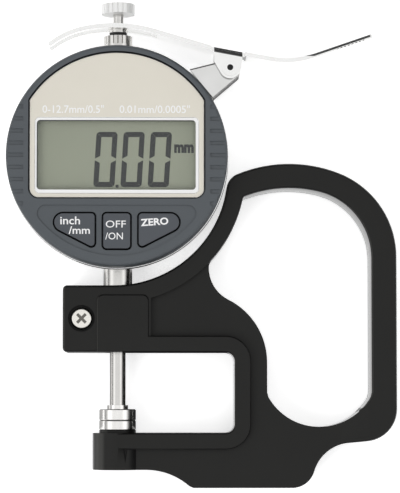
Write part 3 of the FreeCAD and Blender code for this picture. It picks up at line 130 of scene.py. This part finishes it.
# A material on one Principled shader. Numbers that don't vary sit on the shader's own sockets.
class Finish(Graph):
    def __init__(self, name, colour, numbers):
        self.material = bpy.data.materials.new(name)
        self.material.use_nodes = True
        super().__init__(self.material.node_tree)
        self.shader = self.tree.nodes["Principled BSDF"]
        self.shader.inputs["Base Color"].default_value = (*colour, 1)
        for socket, value in numbers.items():
            self.shader.inputs[socket].default_value = value

    def feed(self, socket, value):
        plug(self.tree, self.shader.inputs[socket], value)

    # Noise whose grains are about size millimetres, longer along an axis with a small stretch value.
    def noise(self, size, stretch=(1, 1, 1), detail=3.0):
        spot = self.node("ShaderNodeTexCoord", output="Object")
        scale = tuple(part / (size * mm) for part in stretch)
        where = self.node("ShaderNodeMapping", inputs={"Vector": spot, "Scale": scale})
        inputs = {"Vector": where, "Scale": 1.0, "Detail": detail}
        return self.node("ShaderNodeTexNoise", inputs=inputs, output="Fac")

    # How far a point is from an upright line.
    def reach(self, lineX=0.0, lineY=0.0):
        across = self.part(0) - lineX
        along = self.part(1) - lineY
        return (across * across + along * along) ** 0.5

    # Another colour over part of the colour so far.
    def stain(self, mask, colour):
        below = Signal(self.tree, self.shader.inputs["Base Color"].links[0].from_socket)
        self.feed("Base Color", self.blend(mask, below, colour))

    def relief(self, height, strength, depth):
        bump = {"Height": height, "Strength": strength, "Distance": depth * mm}
        self.feed("Normal", self.node("ShaderNodeBump", inputs=bump))


# Black enamel on the casting: fine orange peel and an uneven gloss, smoother on the walls. Its narrow
# chamfers are painted dark as shade, and painted paler as a highlight where they face left.
def castingEnamel():
    look = {"dark": (0.010, 0.010, 0.0095), "pale": (0.015, 0.015, 0.014), "cloud": 14.0, "peel": 0.35,
            "peelDetail": 2.0, "edge": (0.003, 0.003, 0.003), "paintedEdgeLightAndShade": (0.05, 0.05, 0.047),
            "highlightSide": (0.55, 1.0, 0.15), "wall": (-0.3, 0.3, 0.1), "chamfer": (0.6, 0.8, 0.1),
            "wallRough": 0.13, "faceRough": 0.40, "cloudRough": 0.10, "specular": 0.22,
            "bump": (0.25, 0.02)}
    finish = Finish("castingEnamel", look["dark"], {"Specular IOR Level": look["specular"]})
    cloud = finish.noise(look["cloud"])
    peel = finish.noise(look["peel"], detail=look["peelDetail"])
    facing = finish.part(2, "Normal")
    left = (0 - finish.part(0, "Normal")).band(*look["highlightSide"])
    wall = facing.band(*look["wall"])
    chamfer = abs(facing).band(*look["chamfer"])
    face = finish.blend(cloud, look["dark"], look["pale"])
    # Painted shade on the chamfers, with a painted highlight on those that face left.
    edge = finish.blend(left, look["edge"], look["paintedEdgeLightAndShade"])
    finish.feed("Base Color", finish.blend(chamfer, face, edge))
    faceRough = look["faceRough"] + look["cloudRough"] * cloud
    finish.feed("Roughness", (1 - wall) * faceRough + wall * look["wallRough"])
    finish.relief(peel * (1 - wall), *look["bump"])
    return finish


# Slate grey moulding with a very fine spark-eroded grain. Its steep edges are painted dark as shade where
# they line the gaps round the keys and the panel, which all lie within the reach and nearer the middle than
# the side.
def slateMoulding(name, dark, pale, rough, gaps):
    look = {"grain": 0.18, "grainDetail": 2.0, "cloud": 9.0, "gap": (0.003, 0.003, 0.004),
            "reachSoft": 0.4 * mm, "sideSoft": 0.3 * mm, "steepSoft": 0.08, "grainRough": 0.08,
            "specular": 0.4, "bump": (0.2, 0.01)}
    finish = Finish(name, dark, {"Specular IOR Level": look["specular"]})
    cloud = finish.noise(look["cloud"])
    grain = finish.noise(look["grain"], detail=look["grainDetail"])
    near = (finish.reach().band(0.0, gaps["reach"] * mm, look["reachSoft"])
            * abs(finish.part(0)).band(0.0, gaps["side"] * mm, look["sideSoft"]))
    steep = abs(finish.part(2, "Normal")).band(-1.0, gaps["steep"], look["steepSoft"])
    finish.feed("Base Color", finish.blend(cloud, dark, pale))
    # Painted shade on the steep walls that line the gaps.
    finish.stain(near * steep, look["gap"])
    finish.feed("Roughness", rough + look["grainRough"] * grain)
    finish.relief(grain, *look["bump"])
    return finish


# Warm grey film with a painted highlight on the slope at its rim. Its walls are painted dark as the shade in
# the gap round it.
def panelFilm():
    look = {"dark": (0.765, 0.728, 0.638), "pale": (0.805, 0.768, 0.678), "cloud": 12.0, "grain": 0.25,
            "grainDetail": 1.0, "rim": (0.93, 0.92, 0.88), "slope": (0.5, 0.85, 0.1),
            "gap": (0.004, 0.004, 0.004), "wall": (-1.0, 0.3, 0.1), "rough": 0.42, "grainRough": 0.06,
            "specular": 0.4, "bump": (0.15, 0.006)}
    finish = Finish("panelFilm", look["dark"], {"Specular IOR Level": look["specular"]})
    cloud = finish.noise(look["cloud"])
    grain = finish.noise(look["grain"], detail=look["grainDetail"])
    facing = abs(finish.part(2, "Normal"))
    finish.feed("Base Color", finish.blend(cloud, look["dark"], look["pale"]))
    # Painted highlight on the slope at the rim.
    finish.stain(facing.band(*look["slope"]), look["rim"])
    # Painted shade on the walls, in the gap round the panel.
    finish.stain(facing.band(*look["wall"]), look["gap"])
    finish.feed("Roughness", look["rough"] + look["grainRough"] * grain)
    finish.relief(grain, *look["bump"])
    return finish


# Turned or ground metal: fine lines round the axis or along the grain, and faint tarnish.
def groundMetal(name, dark, pale, rough, lines, stretch=(1, 1, 1)):
    look = {"tarnish": 6.0, "lineDetail": 4.0, "lineRough": 0.10, "bump": (0.3, 0.004)}
    finish = Finish(name, pale, {"Metallic": 1.0})
    cloud = finish.noise(look["tarnish"])
    scratch = finish.noise(lines, stretch=stretch, detail=look["lineDetail"])
    finish.feed("Base Color", finish.blend(cloud, dark, pale))
    finish.feed("Roughness", rough + look["lineRough"] * scratch)
    finish.relief(scratch, *look["bump"])
    return finish


# The clamp screw's head is bright, and its cross recess, below the head's top, is painted dark as shade.
def clampNickel():
    look = {"metal": (0.84, 0.82, 0.77), "rough": 0.2, "lines": 0.3, "recessShade": (0.16, 0.155, 0.14),
            "rim": (12.9 * mm, 25.8 * mm, 0.15 * mm)}
    finish = groundMetal("clampNickel", look["metal"], look["metal"], look["rough"], look["lines"])
    # Painted shade in the cross recess, everything below the head's top.
    finish.stain(1 - finish.part(2).band(*look["rim"]), look["recessShade"])
    return finish


# The hollow end of the lever's rivet is painted black inside its rim, as the shade in the hollow.
def rivetSteel():
    look = {"metal": (0.90, 0.90, 0.89), "rough": 0.14, "lines": 0.3, "holeShade": (0.004, 0.004, 0.004),
            "hole": (0.0, 0.82 * mm, 0.05 * mm)}
    finish = groundMetal("rivetSteel", look["metal"], look["metal"], look["rough"], look["lines"])
    hole = finish.reach(pivot[0], pivot[1]).band(*look["hole"])
    # Painted shade in the rivet's hollow, black and not metallic.
    finish.stain(hole, look["holeShade"])
    finish.feed("Metallic", 1 - hole)
    return finish


# The lever's bright sheet, with painted shade in the cut teeth of the thumb grip near its tip, and painted
# shade in the gap where the ear's lower edge meets the bracket.
def leverSheet():
    look = {"dark": (0.86, 0.86, 0.85), "pale": (0.93, 0.93, 0.92), "rough": 0.12, "lines": 0.4,
            "stretch": (0.1, 0.1, 1), "shade": (0.02, 0.02, 0.02)}
    grip = {"start": (54.6 * mm, 29.81 * mm), "run": (0.945, 0.326), "ends": (7.0 * mm, 14.6 * mm, 0.3 * mm),
            "deep": (0.92 * mm, 1.08 * mm, 0.06 * mm), "pitch": 1.1 * mm, "cut": (0.3, 1.0, 0.3)}
    ear = {"near": (0.0, 5.4 * mm, 0.3 * mm), "side": (-0.6, -0.8), "facing": (0.7, 1.2, 0.1)}
    finish = groundMetal("leverSheet", look["dark"], look["pale"], look["rough"], look["lines"],
                         look["stretch"])
    right = finish.part(0) - grip["start"][0]
    up = finish.part(1) - grip["start"][1]
    runX, runY = grip["run"]
    along = right * runX + up * runY
    depth = right * runY - up * runX
    turns = along * (2 * math.pi / grip["pitch"])
    wave = turns.combine("SINE", turns)
    teeth = wave.band(*grip["cut"]) * along.band(*grip["ends"]) * depth.band(*grip["deep"])
    sideX, sideY = ear["side"]
    facing = finish.part(0, "Normal") * sideX + finish.part(1, "Normal") * sideY
    paintedEdgeLightAndShade = finish.reach(pivot[0], pivot[1]).band(*ear["near"]) * facing.band(*ear["facing"])
    # Painted shade in the grip's teeth and in the gap under the ear's edge.
    finish.stain(teeth.combine("MAXIMUM", teeth, paintedEdgeLightAndShade), look["shade"])
    return finish


def displayCell():
    look = {"dark": (0.34, 0.37, 0.28), "pale": (0.41, 0.435, 0.335), "cloud": 42.0, "rough": 0.32,
            "specular": 0.3}
    finish = Finish("displayCell", look["pale"],
                    {"Roughness": look["rough"], "Specular IOR Level": look["specular"]})
    cloud = finish.noise(look["cloud"], detail=1.0)
    finish.feed("Base Color", finish.blend(cloud, look["dark"], look["pale"]))
    return finish


def displayInk():
    look = {"ink": (0.024, 0.026, 0.028), "grain": 0.4, "rough": 0.35, "grainRough": 0.1, "specular": 0.3}
    finish = Finish("displayInk", look["ink"], {"Specular IOR Level": look["specular"]})
    finish.feed("Roughness", look["rough"] + look["grainRough"] * finish.noise(look["grain"]))
    return finish


def clearWindow():
    look = {"tint": (0.30, 0.31, 0.30), "alpha": 0.08, "smear": 7.0, "rough": 0.04, "smearRough": 0.05}
    finish = Finish("clearWindow", look["tint"], {"Alpha": look["alpha"], "Specular IOR Level": 0.5})
    finish.feed("Roughness", look["rough"] + look["smearRough"] * finish.noise(look["smear"]))
    return finish


def plainStuff(name, dark, pale, rough, metal=0.0, grainSize=0.8, specular=0.5):
    grainRough = 0.1
    finish = Finish(name, dark, {"Metallic": metal, "Specular IOR Level": specular})
    grain = finish.noise(grainSize)
    finish.feed("Base Color", finish.blend(grain, dark, pale))
    finish.feed("Roughness", rough + grainRough * grain)
    return finish


# Turned pieces have their lines round the spindle's direction, and sheet has them along its faces.
finishes = {
    "enamel": castingEnamel(),
    "slate": slateMoulding("bezelSlate", (0.080, 0.090, 0.100), (0.090, 0.101, 0.111), 0.42,
                           {"reach": 29.2, "side": 24.6, "steep": 0.85}),
    "keySlate": slateMoulding("keySlate", (0.070, 0.078, 0.090), (0.080, 0.088, 0.100), 0.40,
                              {"reach": 60.0, "side": 60.0, "steep": 0.85}),
    "coverPlastic": slateMoulding("coverPlastic", (0.035, 0.038, 0.042), (0.045, 0.048, 0.052), 0.5,
                                  {"reach": 24.0, "side": 60.0, "steep": 0.3}),
    "panel": panelFilm(),
    "turned": groundMetal("turnedSteel", (0.62, 0.61, 0.59), (0.70, 0.69, 0.67), 0.16, 0.5,
                          (0.15, 1, 0.15)),
    "polished": groundMetal("polishedSteel", (0.80, 0.79, 0.77), (0.88, 0.87, 0.85), 0.14, 0.5,
                            (0.15, 1, 0.15)),
    "plated": groundMetal("platedCase", (0.84, 0.84, 0.84), (0.91, 0.91, 0.91), 0.14, 0.6, (0.2, 0.2, 1)),
    "lever": leverSheet(),
    "bracket": groundMetal("bracketSheet", (0.69, 0.69, 0.68), (0.76, 0.76, 0.75), 0.14, 0.4,
                           (0.1, 0.1, 1)),
    "rivet": rivetSteel(),
    "satin": plainStuff("satinKnob", (0.90, 0.90, 0.89), (0.97, 0.97, 0.96), 0.28, metal=0.3),
    "nickel": groundMetal("nickelScrew", (0.72, 0.70, 0.66), (0.80, 0.78, 0.74), 0.18, 0.3),
    "clamp": clampNickel(),
    "cell": displayCell(),
    "ink": displayInk(),
    "window": clearWindow(),
    "print": plainStuff("whitePrint", (0.92, 0.92, 0.92), (0.98, 0.98, 0.98), 0.45, grainSize=0.3,
                        specular=0.3),
    "rubber": plainStuff("rubberBlack", (0.012, 0.012, 0.012), (0.02, 0.02, 0.02), 0.6),
    "board": plainStuff("boardGreen", (0.015, 0.10, 0.04), (0.02, 0.14, 0.055), 0.4),
    "slider": plainStuff("sliderWhite", (0.5, 0.5, 0.47), (0.6, 0.6, 0.57), 0.45),
    "spring": plainStuff("springWire", (0.4, 0.4, 0.4), (0.5, 0.5, 0.5), 0.25, metal=1.0),
    "brass": plainStuff("clipBrass", (0.6, 0.45, 0.2), (0.7, 0.55, 0.28), 0.25, metal=1.0),
    "battery": plainStuff("cellCan", (0.6, 0.6, 0.6), (0.7, 0.7, 0.7), 0.25, metal=1.0),
}

wearing = {
    "frame_casting": "enamel", "anvil_disc": "polished", "clamp_screw": "clamp", "stem_tube": "turned",
    "indicator_case": "plated", "back_cover": "coverPlastic", "cover_screws": "nickel",
    "front_bezel": "slate", "face_panel": "panel", "display_lens": "window", "lcd_glass": "cell",
    "lcd_strips": "rubber", "circuit_board": "board", "key_switches": "rubber", "coin_cell": "battery",
    "cell_clip": "brass", "battery_cap": "coverPlastic", "top_bush": "turned", "guide_pin": "turned",
    "return_spring": "spring", "lever_bracket": "bracket", "bracket_screws": "nickel",
    "pivot_rivet": "rivet", "spindle_rod": "turned", "contact_disc": "polished", "lift_stud": "turned",
    "bumper_ring": "rubber", "lift_knob": "satin", "slider_block": "slider", "slider_plate": "board",
    "lever_arm": "lever", "key_unit": "keySlate", "key_power": "keySlate", "key_zero": "keySlate",
}
for name, coat in wearing.items():
    nodes[name].data.materials.clear()
    nodes[name].data.materials.append(finishes[coat].material)
print("finishes on the CAD nodes")


def finished(name, shape, coat, body):
    mesh = bpy.data.meshes.new(name)
    shape.to_mesh(mesh)
    shape.free()
    piece = bpy.data.objects.new(name, mesh)
    bpy.context.scene.collection.objects.link(piece)
    mesh.materials.append(finishes[coat].material)
    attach(piece, body)
    return piece


# Front edges that are rounded off: those on the level, right of a place, that face one of the sides.
rolledEdges = {
    "lever_bracket": {"level": 10.2, "right": 0.0, "radius": 0.5,
                      "sides": ((-0.24, 0.97), (-0.21, 0.98), (0.65, -0.76))},
    "lever_arm": {"level": 11.5, "right": 50.0, "radius": 0.8, "sides": ((-0.327, 0.945),)},
}


def rollEdges(shape, roll):
    look = {"slack": 0.01, "likeness": 0.997, "segments": 5}
    chosen = []
    for edge in shape.edges:
        lowest = min(end.co.z for end in edge.verts) / mm
        leftmost = min(end.co.x for end in edge.verts) / mm
        if edge.is_manifold and lowest > roll["level"] - look["slack"] and leftmost > roll["right"]:
            side = min((face.normal for face in edge.link_faces), key=lambda normal: normal.z)
            if any(side.x * x + side.y * y > look["likeness"] for x, y in roll["sides"]):
                chosen.append(edge)
    bmesh.ops.bevel(shape, geom=chosen, offset=roll["radius"] * mm, offset_type="OFFSET",
                    segments=look["segments"], profile=0.5, affect="EDGES", material=-1)
    print("rolled edges:", len(chosen))


# A copy of a CAD node with its triangles joined, shaded smooth over its narrow chamfers. A slight crease
# between two front flats of the casting stays sharp.
def smoothSkin(node, pieceName):
    look = {"weld": 0.0005 * mm, "level": math.radians(0.5), "sharp": math.radians(52),
            "crease": math.radians(9), "flat": 0.9, "weight": 60}
    shape = bmesh.new()
    shape.from_mesh(nodes[node].data)
    bmesh.ops.remove_doubles(shape, verts=shape.verts, dist=look["weld"])
    bmesh.ops.dissolve_limit(shape, angle_limit=look["level"], verts=shape.verts, edges=shape.edges)
    if node in rolledEdges:
        rollEdges(shape, rolledEdges[node])
    for face in shape.faces:
        face.smooth = True
    for edge in shape.edges:
        level = all(face.normal.z > look["flat"] for face in edge.link_faces) and node == "frame_casting"
        limit = look["crease"] if level else look["sharp"]
        edge.smooth = edge.is_manifold and edge.calc_face_angle(0) < limit
    skin = finished(pieceName, shape, wearing[node], bodyOf[node])
    weighted = skin.modifiers.new("weighted", "WEIGHTED_NORMAL")
    weighted.keep_sharp = True
    weighted.weight = look["weight"]
    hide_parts(node)


skins = {
    "frame_casting": "castingSkin", "front_bezel": "bezelSkin", "indicator_case": "caseSkin",
    "spindle_rod": "rodSkin", "stem_tube": "stemSkin", "contact_disc": "contactSkin",
    "anvil_disc": "anvilSkin", "lever_arm": "leverSkin", "lever_bracket": "bracketSkin",
    "pivot_rivet": "rivetSkin", "clamp_screw": "clampSkin", "face_panel": "panelSkin",
    "key_unit": "unitKeySkin", "key_power": "powerKeySkin", "key_zero": "zeroKeySkin",
    "lift_stud": "studSkin", "lift_knob": "knobSkin", "top_bush": "bushSkin", "bumper_ring": "bumperSkin",
    "back_cover": "coverSkin", "battery_cap": "capSkin",
}
for node, pieceName in skins.items():
    smoothSkin(node, pieceName)
print("smooth skins made")


# Faces grown upwards by a height.
def grow(shape, faces, height):
    grown = bmesh.ops.extrude_face_region(shape, geom=faces)
    risen = [part for part in grown["geom"] if isinstance(part, bmesh.types.BMVert)]
    bmesh.ops.translate(shape, verts=risen, vec=(0, 0, height * mm))


# A flat shape standing on a level, grown upwards from its outline.
def slab(shape, outline, level, height):
    corners = [shape.verts.new((x * mm, y * mm, level * mm)) for x, y in outline]
    face = shape.faces.new(corners)
    face.normal_update()
    if face.normal.z > 0:
        face.normal_flip()
    grow(shape, [face], height)
    bmesh.ops.recalc_face_normals(shape, faces=shape.faces)


def squareBox(left, bottom, right, top):
    return [(left, bottom), (right, bottom), (right, top), (left, top)]


# The display reads 0.00 in slanted seven-segment figures with the middle bar off.
def displayFigures():
    figures = {"lefts": (-6.57, 0.90, 8.38), "width": 5.83, "high": 15.22, "bottom": -8.45, "bar": 1.42,
               "mitre": 0.02, "corner": 1.0, "turns": (0, 15, 30, 45), "midOuter": 0.22, "midInner": 0.98,
               "slant": 0.06, "level": 18.5, "height": 0.03, "dot": (-0.4, -8.62, 0.8)}
    high = figures["high"]
    wide = figures["width"]
    bar = figures["bar"]
    mitre = figures["mitre"]
    corner = figures["corner"]
    arc = [(corner - corner * math.cos(angle), high - corner + corner * math.sin(angle))
           for angle in map(math.radians, figures["turns"])]
    upright = [(0, high / 2 + figures["midOuter"]), (bar, high / 2 + figures["midInner"]),
               (bar, high - bar - mitre), *[(x, y - mitre) for x, y in reversed(arc)]]
    crown = [(high - y + mitre, high - x) for x, y in reversed(arc)]
    level = [(bar + mitre, high - bar), *crown, *[(wide - x, y) for x, y in reversed(crown)],
             (wide - bar - mitre, high - bar)]
    shape = bmesh.new()
    for left in figures["lefts"]:
        for segment, flips in ((upright, (False, True)), (level, (False,))):
            for across in flips:
                for down in (False, True):
                    points = []
                    for x, y in segment:
                        x = wide - x if across else x
                        y = high - y if down else y
                        points.append((left + x + figures["slant"] * y, y + figures["bottom"]))
                    slab(shape, points, figures["level"], figures["height"])
    dotX, dotY, size = figures["dot"]
    slab(shape, squareBox(dotX, dotY, dotX + size, dotY + size), figures["level"], figures["height"])
    return finished("displayFigures", shape, "ink", "gauge")


# Lettering as a thin mesh that lies on a level, fitted to its box.
def lettering(name, text, coat, body, words):
    look = {"extrude": 0.01 * mm, "thick": 0.03 * mm, "weld": 0.0002 * mm}
    curve = bpy.data.curves.new(name, "FONT")
    curve.body = text
    curve.extrude = look["extrude"]
    curve.resolution_u = 3
    curve.offset = words["weight"]
    curve.size = 1.0
    writer = bpy.data.objects.new(name + "Writer", curve)
    bpy.context.scene.collection.objects.link(writer)
    bpy.context.view_layer.update()
    mesh = bpy.data.meshes.new_from_object(writer)
    bpy.data.objects.remove(writer)
    shape = bmesh.new()
    shape.from_mesh(mesh)
    low = Vector(min(v.co[axis] for v in shape.verts) for axis in range(3))
    high = Vector(max(v.co[axis] for v in shape.verts) for axis in range(3))
    left, right, bottom, top = words["box"]
    scale = Matrix.Diagonal(((right - left) * mm / (high.x - low.x), (top - bottom) * mm / (high.y - low.y),
                             look["thick"] / (high.z - low.z), 1))
    spot = Matrix.Translation((left * mm, bottom * mm, words["level"] * mm))
    tilt = Matrix.Rotation(math.radians(words.get("tilt", 0.0)), 4, "Z")
    shape.transform(spot @ tilt @ scale @ Matrix.Translation(-low))
    bmesh.ops.remove_doubles(shape, verts=shape.verts, dist=look["weld"])
    return finished(name, shape, coat, body)


displayFigures()
lettering("unitLetters", "mm", "ink", "gauge",
          {"box": (15.7, 21.1, 1.0, 3.4), "level": 18.5, "weight": 0.055})
lettering("rangeLetters", '0-12.7mm/0.5"', "print", "gauge",
          {"box": (-20.4, -3.6, 11.6, 13.8), "level": 21.4, "weight": 0.006})
lettering("stepLetters", '0.01mm/0.0005"', "print", "gauge",
          {"box": (0.7, 20.0, 11.6, 13.8), "level": 21.4, "weight": 0.006})
lettering("inchLetters", "inch", "print", "unit_button",
          {"box": (-15.4, -10.0, -19.1, -16.9), "level": 22.3, "weight": 0.012})
lettering("millimetreLetters", "/mm", "print", "unit_button",
          {"box": (-13.1, -7.3, -21.7, -19.6), "level": 22.3, "weight": 0.012})
lettering("offLetters", "OFF", "print", "power_button",
          {"box": (-3.0, 2.5, -19.95, -18.0), "level": 22.3, "weight": 0.004})
lettering("onLetters", "/ON", "print", "power_button",
          {"box": (-3.1, 1.7, -23.2, -21.3), "level": 22.3, "weight": 0.004})
lettering("zeroLetters", "ZERO", "print", "zero_button",
          {"box": (6.6, 14.2, -19.6, -17.6), "level": 22.3, "weight": 0.03, "tilt": 4.0})
print("display and lettering made")


def roundedBox(left, bottom, right, top, radius, steps=6):
    corners = [(right - radius, bottom + radius, -90), (right - radius, top - radius, 0),
               (left + radius, top - radius, 90), (left + radius, bottom + radius, 180)]
    points = []
    for x, y, start in corners:
        for step in range(steps + 1):
            angle = math.radians(start + 90 * step / steps)
            points.append((x + radius * math.cos(angle), y + radius * math.sin(angle)))
    return points


# The white line printed round the display on the back of the window.
def windowBorder():
    border = {"outer": (-22.38, -10.38, 22.38, 10.38, 1.2), "inner": (-21.95, -9.45, 21.6, 9.7, 1.0),
              "level": 21.2, "height": 0.05}
    shape = bmesh.new()
    for box in (border["outer"], border["inner"]):
        ring = [shape.verts.new((x * mm, y * mm, border["level"] * mm)) for x, y in roundedBox(*box)]
        for step, corner in enumerate(ring):
            shape.edges.new((ring[step - 1], corner))
    bmesh.ops.bridge_loops(shape, edges=shape.edges[:])
    grow(shape, shape.faces[:], border["height"])
    bmesh.ops.recalc_face_normals(shape, faces=shape.faces)
    return finished("windowBorder", shape, "print", "gauge")


windowBorder()


# The window frame's shadow on the display, painted as thin dark strips at its top and left.
def windowShade():
    shade = {"top": (-22.1, 9.74, 22.1, 10.0), "left": (-22.12, -10.0, -21.88, 9.74), "level": 18.5,
             "height": 0.03}
    shape = bmesh.new()
    for strip in (shade["top"], shade["left"]):
        slab(shape, squareBox(*strip), shade["level"], shade["height"])
    return finished("windowShade", shape, "ink", "gauge")


windowShade()


# The rivet's hollow end, with the stub of its mandrel in the middle, coloured black as painted shade in the
# hollow.
def rivetCore():
    core = {"radius": 0.78, "top": 11.6, "deep": 1.2, "stub": 0.2, "stubHigh": 0.15}
    shape = bmesh.new()
    bmesh.ops.create_cone(shape, cap_ends=True, segments=24, radius1=core["radius"] * mm,
                          radius2=core["radius"] * mm, depth=core["deep"] * mm)
    cap = max(shape.faces, key=lambda face: face.calc_center_median().z)
    bmesh.ops.inset_region(shape, faces=[cap], thickness=(core["radius"] - core["stub"]) * mm, depth=0.0)
    grow(shape, [cap], core["stubHigh"])
    bmesh.ops.delete(shape, geom=[cap], context="FACES")
    shape.transform(Matrix.Translation((pivot[0], pivot[1], (core["top"] - core["deep"] / 2) * mm)))
    bmesh.ops.recalc_face_normals(shape, faces=shape.faces)
    # The black rubber finish here is painted shade, not the rivet's own colour.
    return finished("rivetCore", shape, "rubber", bodyOf["pivot_rivet"])


rivetCore()


# White paper that glows a little. For mirror rays only, patches of it are painted dark as painted
# reflections, so metal mirrors it darker beside the spindle and beyond the lever and the bracket.
def floor():
    ground = {"half": 3.0, "level": 0.0, "colour": (0.86, 0.86, 0.86), "dark": (0, 0, 0), "glow": 0.6}
    paintedReflectionPatches = {
        "spindleAlong": (-75 * mm, -31 * mm, 2 * mm), "spindleRight": (2 * mm, 30.5 * mm, 1 * mm),
        "spindleRightDepth": 0.98, "spindleLeft": (-40 * mm, 1 * mm, 1 * mm), "spindleLeftDepth": 0.65,
        "leverAlong": (36 * mm, 500 * mm, 1 * mm), "leverAcross": (20 * mm, 150 * mm, 4 * mm),
        "leverDepth": 0.98, "bracketAlong": (12 * mm, 24 * mm, 0.5 * mm),
        "bracketAcross": (27.5 * mm, 45 * mm, 0.5 * mm), "bracketDepth": 0.8,
    }
    shape = bmesh.new()
    bmesh.ops.create_grid(shape, x_segments=1, y_segments=1, size=ground["half"])
    mesh = bpy.data.meshes.new("floor")
    shape.to_mesh(mesh)
    shape.free()
    plane = bpy.data.objects.new("floor", mesh)
    bpy.context.scene.collection.objects.link(plane)
    plane.location.z = ground["level"]
    material = bpy.data.materials.new("floorPaper")
    material.use_nodes = True
    graph = Graph(material.node_tree)
    graph.tree.nodes.remove(graph.tree.nodes["Principled BSDF"])
    seen = graph.node("ShaderNodeLightPath", output="Is Camera Ray")
    glossy = graph.node("ShaderNodeLightPath", output="Is Glossy Ray")
    through = graph.node("ShaderNodeLightPath", output="Is Transmission Ray")
    across = graph.part(0)
    along = graph.part(1)
    spindle = along.band(*paintedReflectionPatches["spindleAlong"]) * (
        across.band(*paintedReflectionPatches["spindleRight"]) * paintedReflectionPatches["spindleRightDepth"]
        + across.band(*paintedReflectionPatches["spindleLeft"]) * paintedReflectionPatches["spindleLeftDepth"])
    lever = (along.band(*paintedReflectionPatches["leverAlong"]) * across.band(*paintedReflectionPatches["leverAcross"])
             * paintedReflectionPatches["leverDepth"])
    bracket = (along.band(*paintedReflectionPatches["bracketAlong"]) * across.band(*paintedReflectionPatches["bracketAcross"])
               * paintedReflectionPatches["bracketDepth"])
    # Painted reflection: these dark patches are seen by mirror rays only.
    shade = spindle + lever + bracket
    colour = graph.blend(glossy * shade, ground["colour"], ground["dark"])
    paper = graph.node("ShaderNodeBsdfDiffuse", inputs={"Color": colour})
    strength = (seen + through + glossy * (1 - shade)) * ground["glow"]
    glow = graph.node("ShaderNodeEmission", inputs={"Color": (1, 1, 1, 1), "Strength": strength})
    both = graph.node("ShaderNodeAddShader", inputs={0: glow, 1: paper})
    plug(graph.tree, graph.tree.nodes["Material Output"].inputs["Surface"], both)
    mesh.materials.append(material)


# The studio as polished metal mirrors it: grey above the camera, white boxes to both sides of it,
# and dark to the right and beyond the top of the picture.
def sky():
    air = {"plain": 0.38, "overhead": 0.86, "overheadFocus": 4.0, "boxes": 1.25, "boxTilt": 0.62,
           "boxSpread": 0.26, "dark": 0.03, "leftGrey": 0.35, "leftFade": 0.5,
           "beyond": (0.36, 1.5, 0.1), "beyondDepth": 0.97, "beyondEdge": 0.5}
    world = bpy.data.worlds.new("studioAir")
    bpy.context.scene.world = world
    world.use_nodes = True
    graph = Graph(world.node_tree)
    background = graph.tree.nodes["Background"]
    background.inputs["Color"].default_value = (1, 1, 1, 1)
    side = graph.part(0, "Generated")
    far = graph.part(1, "Generated")
    height = graph.part(2, "Generated")
    glossy = graph.node("ShaderNodeLightPath", output="Is Glossy Ray")
    lean = (height - air["boxTilt"]) / air["boxSpread"]
    sideways = 1 - far * far
    boxes = air["boxes"] * (math.e ** (0 - lean * lean)) * sideways * sideways
    above = height.combine("MAXIMUM", height, 0.0)
    left = (1 - side) / 2
    edge = air["dark"] + (1 - above) * air["leftGrey"] * left * (1 - far * air["leftFade"])
    beyond = far.band(*air["beyond"])
    lit = (air["overhead"] * above ** air["overheadFocus"] + boxes) * (1 - beyond * air["beyondDepth"])
    studio = edge * (1 - beyond * air["beyondEdge"]) + lit
    plug(graph.tree, background.inputs["Strength"], air["plain"] + glossy * (studio - air["plain"]))


def lamps():
    lights = {
        "keyLamp": {"place": (-0.45, -0.35, 0.75), "size": 0.5, "watts": 2.9},
        "topLamp": {"place": (0.1, 0.15, 0.9), "size": 0.7, "watts": 2.0},
        "fillLamp": {"place": (0.6, -0.2, 0.5), "size": 0.5, "watts": 0.6},
    }
    centre = Vector((20 * mm, -25 * mm, 8 * mm))
    for name, lamp in lights.items():
        light = bpy.data.lights.new(name, "AREA")
        light.shape = "DISK"
        light.size = lamp["size"]
        light.energy = lamp["watts"]
        holder = bpy.data.objects.new(name, light)
        bpy.context.scene.collection.objects.link(holder)
        holder.location = lamp["place"]
        aim = centre - holder.location
        holder.rotation_euler = aim.to_track_quat("-Z", "Y").to_euler()
        holder.visible_glossy = False


# The camera stands over the anvil and is tipped a little towards the head.
def camera():
    view = {"station": (13.4, -67.6, 601.2), "aim": (23.0, -40.57, 7.0), "lens": 155.2, "sensor": 36.0,
            "shiftY": 0.12}
    station = Vector(view["station"]) * mm
    aim = Vector(view["aim"]) * mm
    lens = bpy.data.cameras.new("photoCamera")
    lens.sensor_width = view["sensor"]
    lens.lens = view["lens"]
    lens.shift_y = view["shiftY"]
    holder = bpy.data.objects.new("photoCamera", lens)
    bpy.context.scene.collection.objects.link(holder)
    holder.location = station
    back = (station - aim).normalized()
    across = Vector((0, 1, 0)).cross(back).normalized()
    up = back.cross(across)
    holder.rotation_euler = Matrix((across, up, back)).transposed().to_euler()
    bpy.context.scene.camera = holder


floor()
sky()
lamps()
camera()
bpy.context.scene.view_settings.view_transform = "Standard"
print("stage, lamps and camera placed")
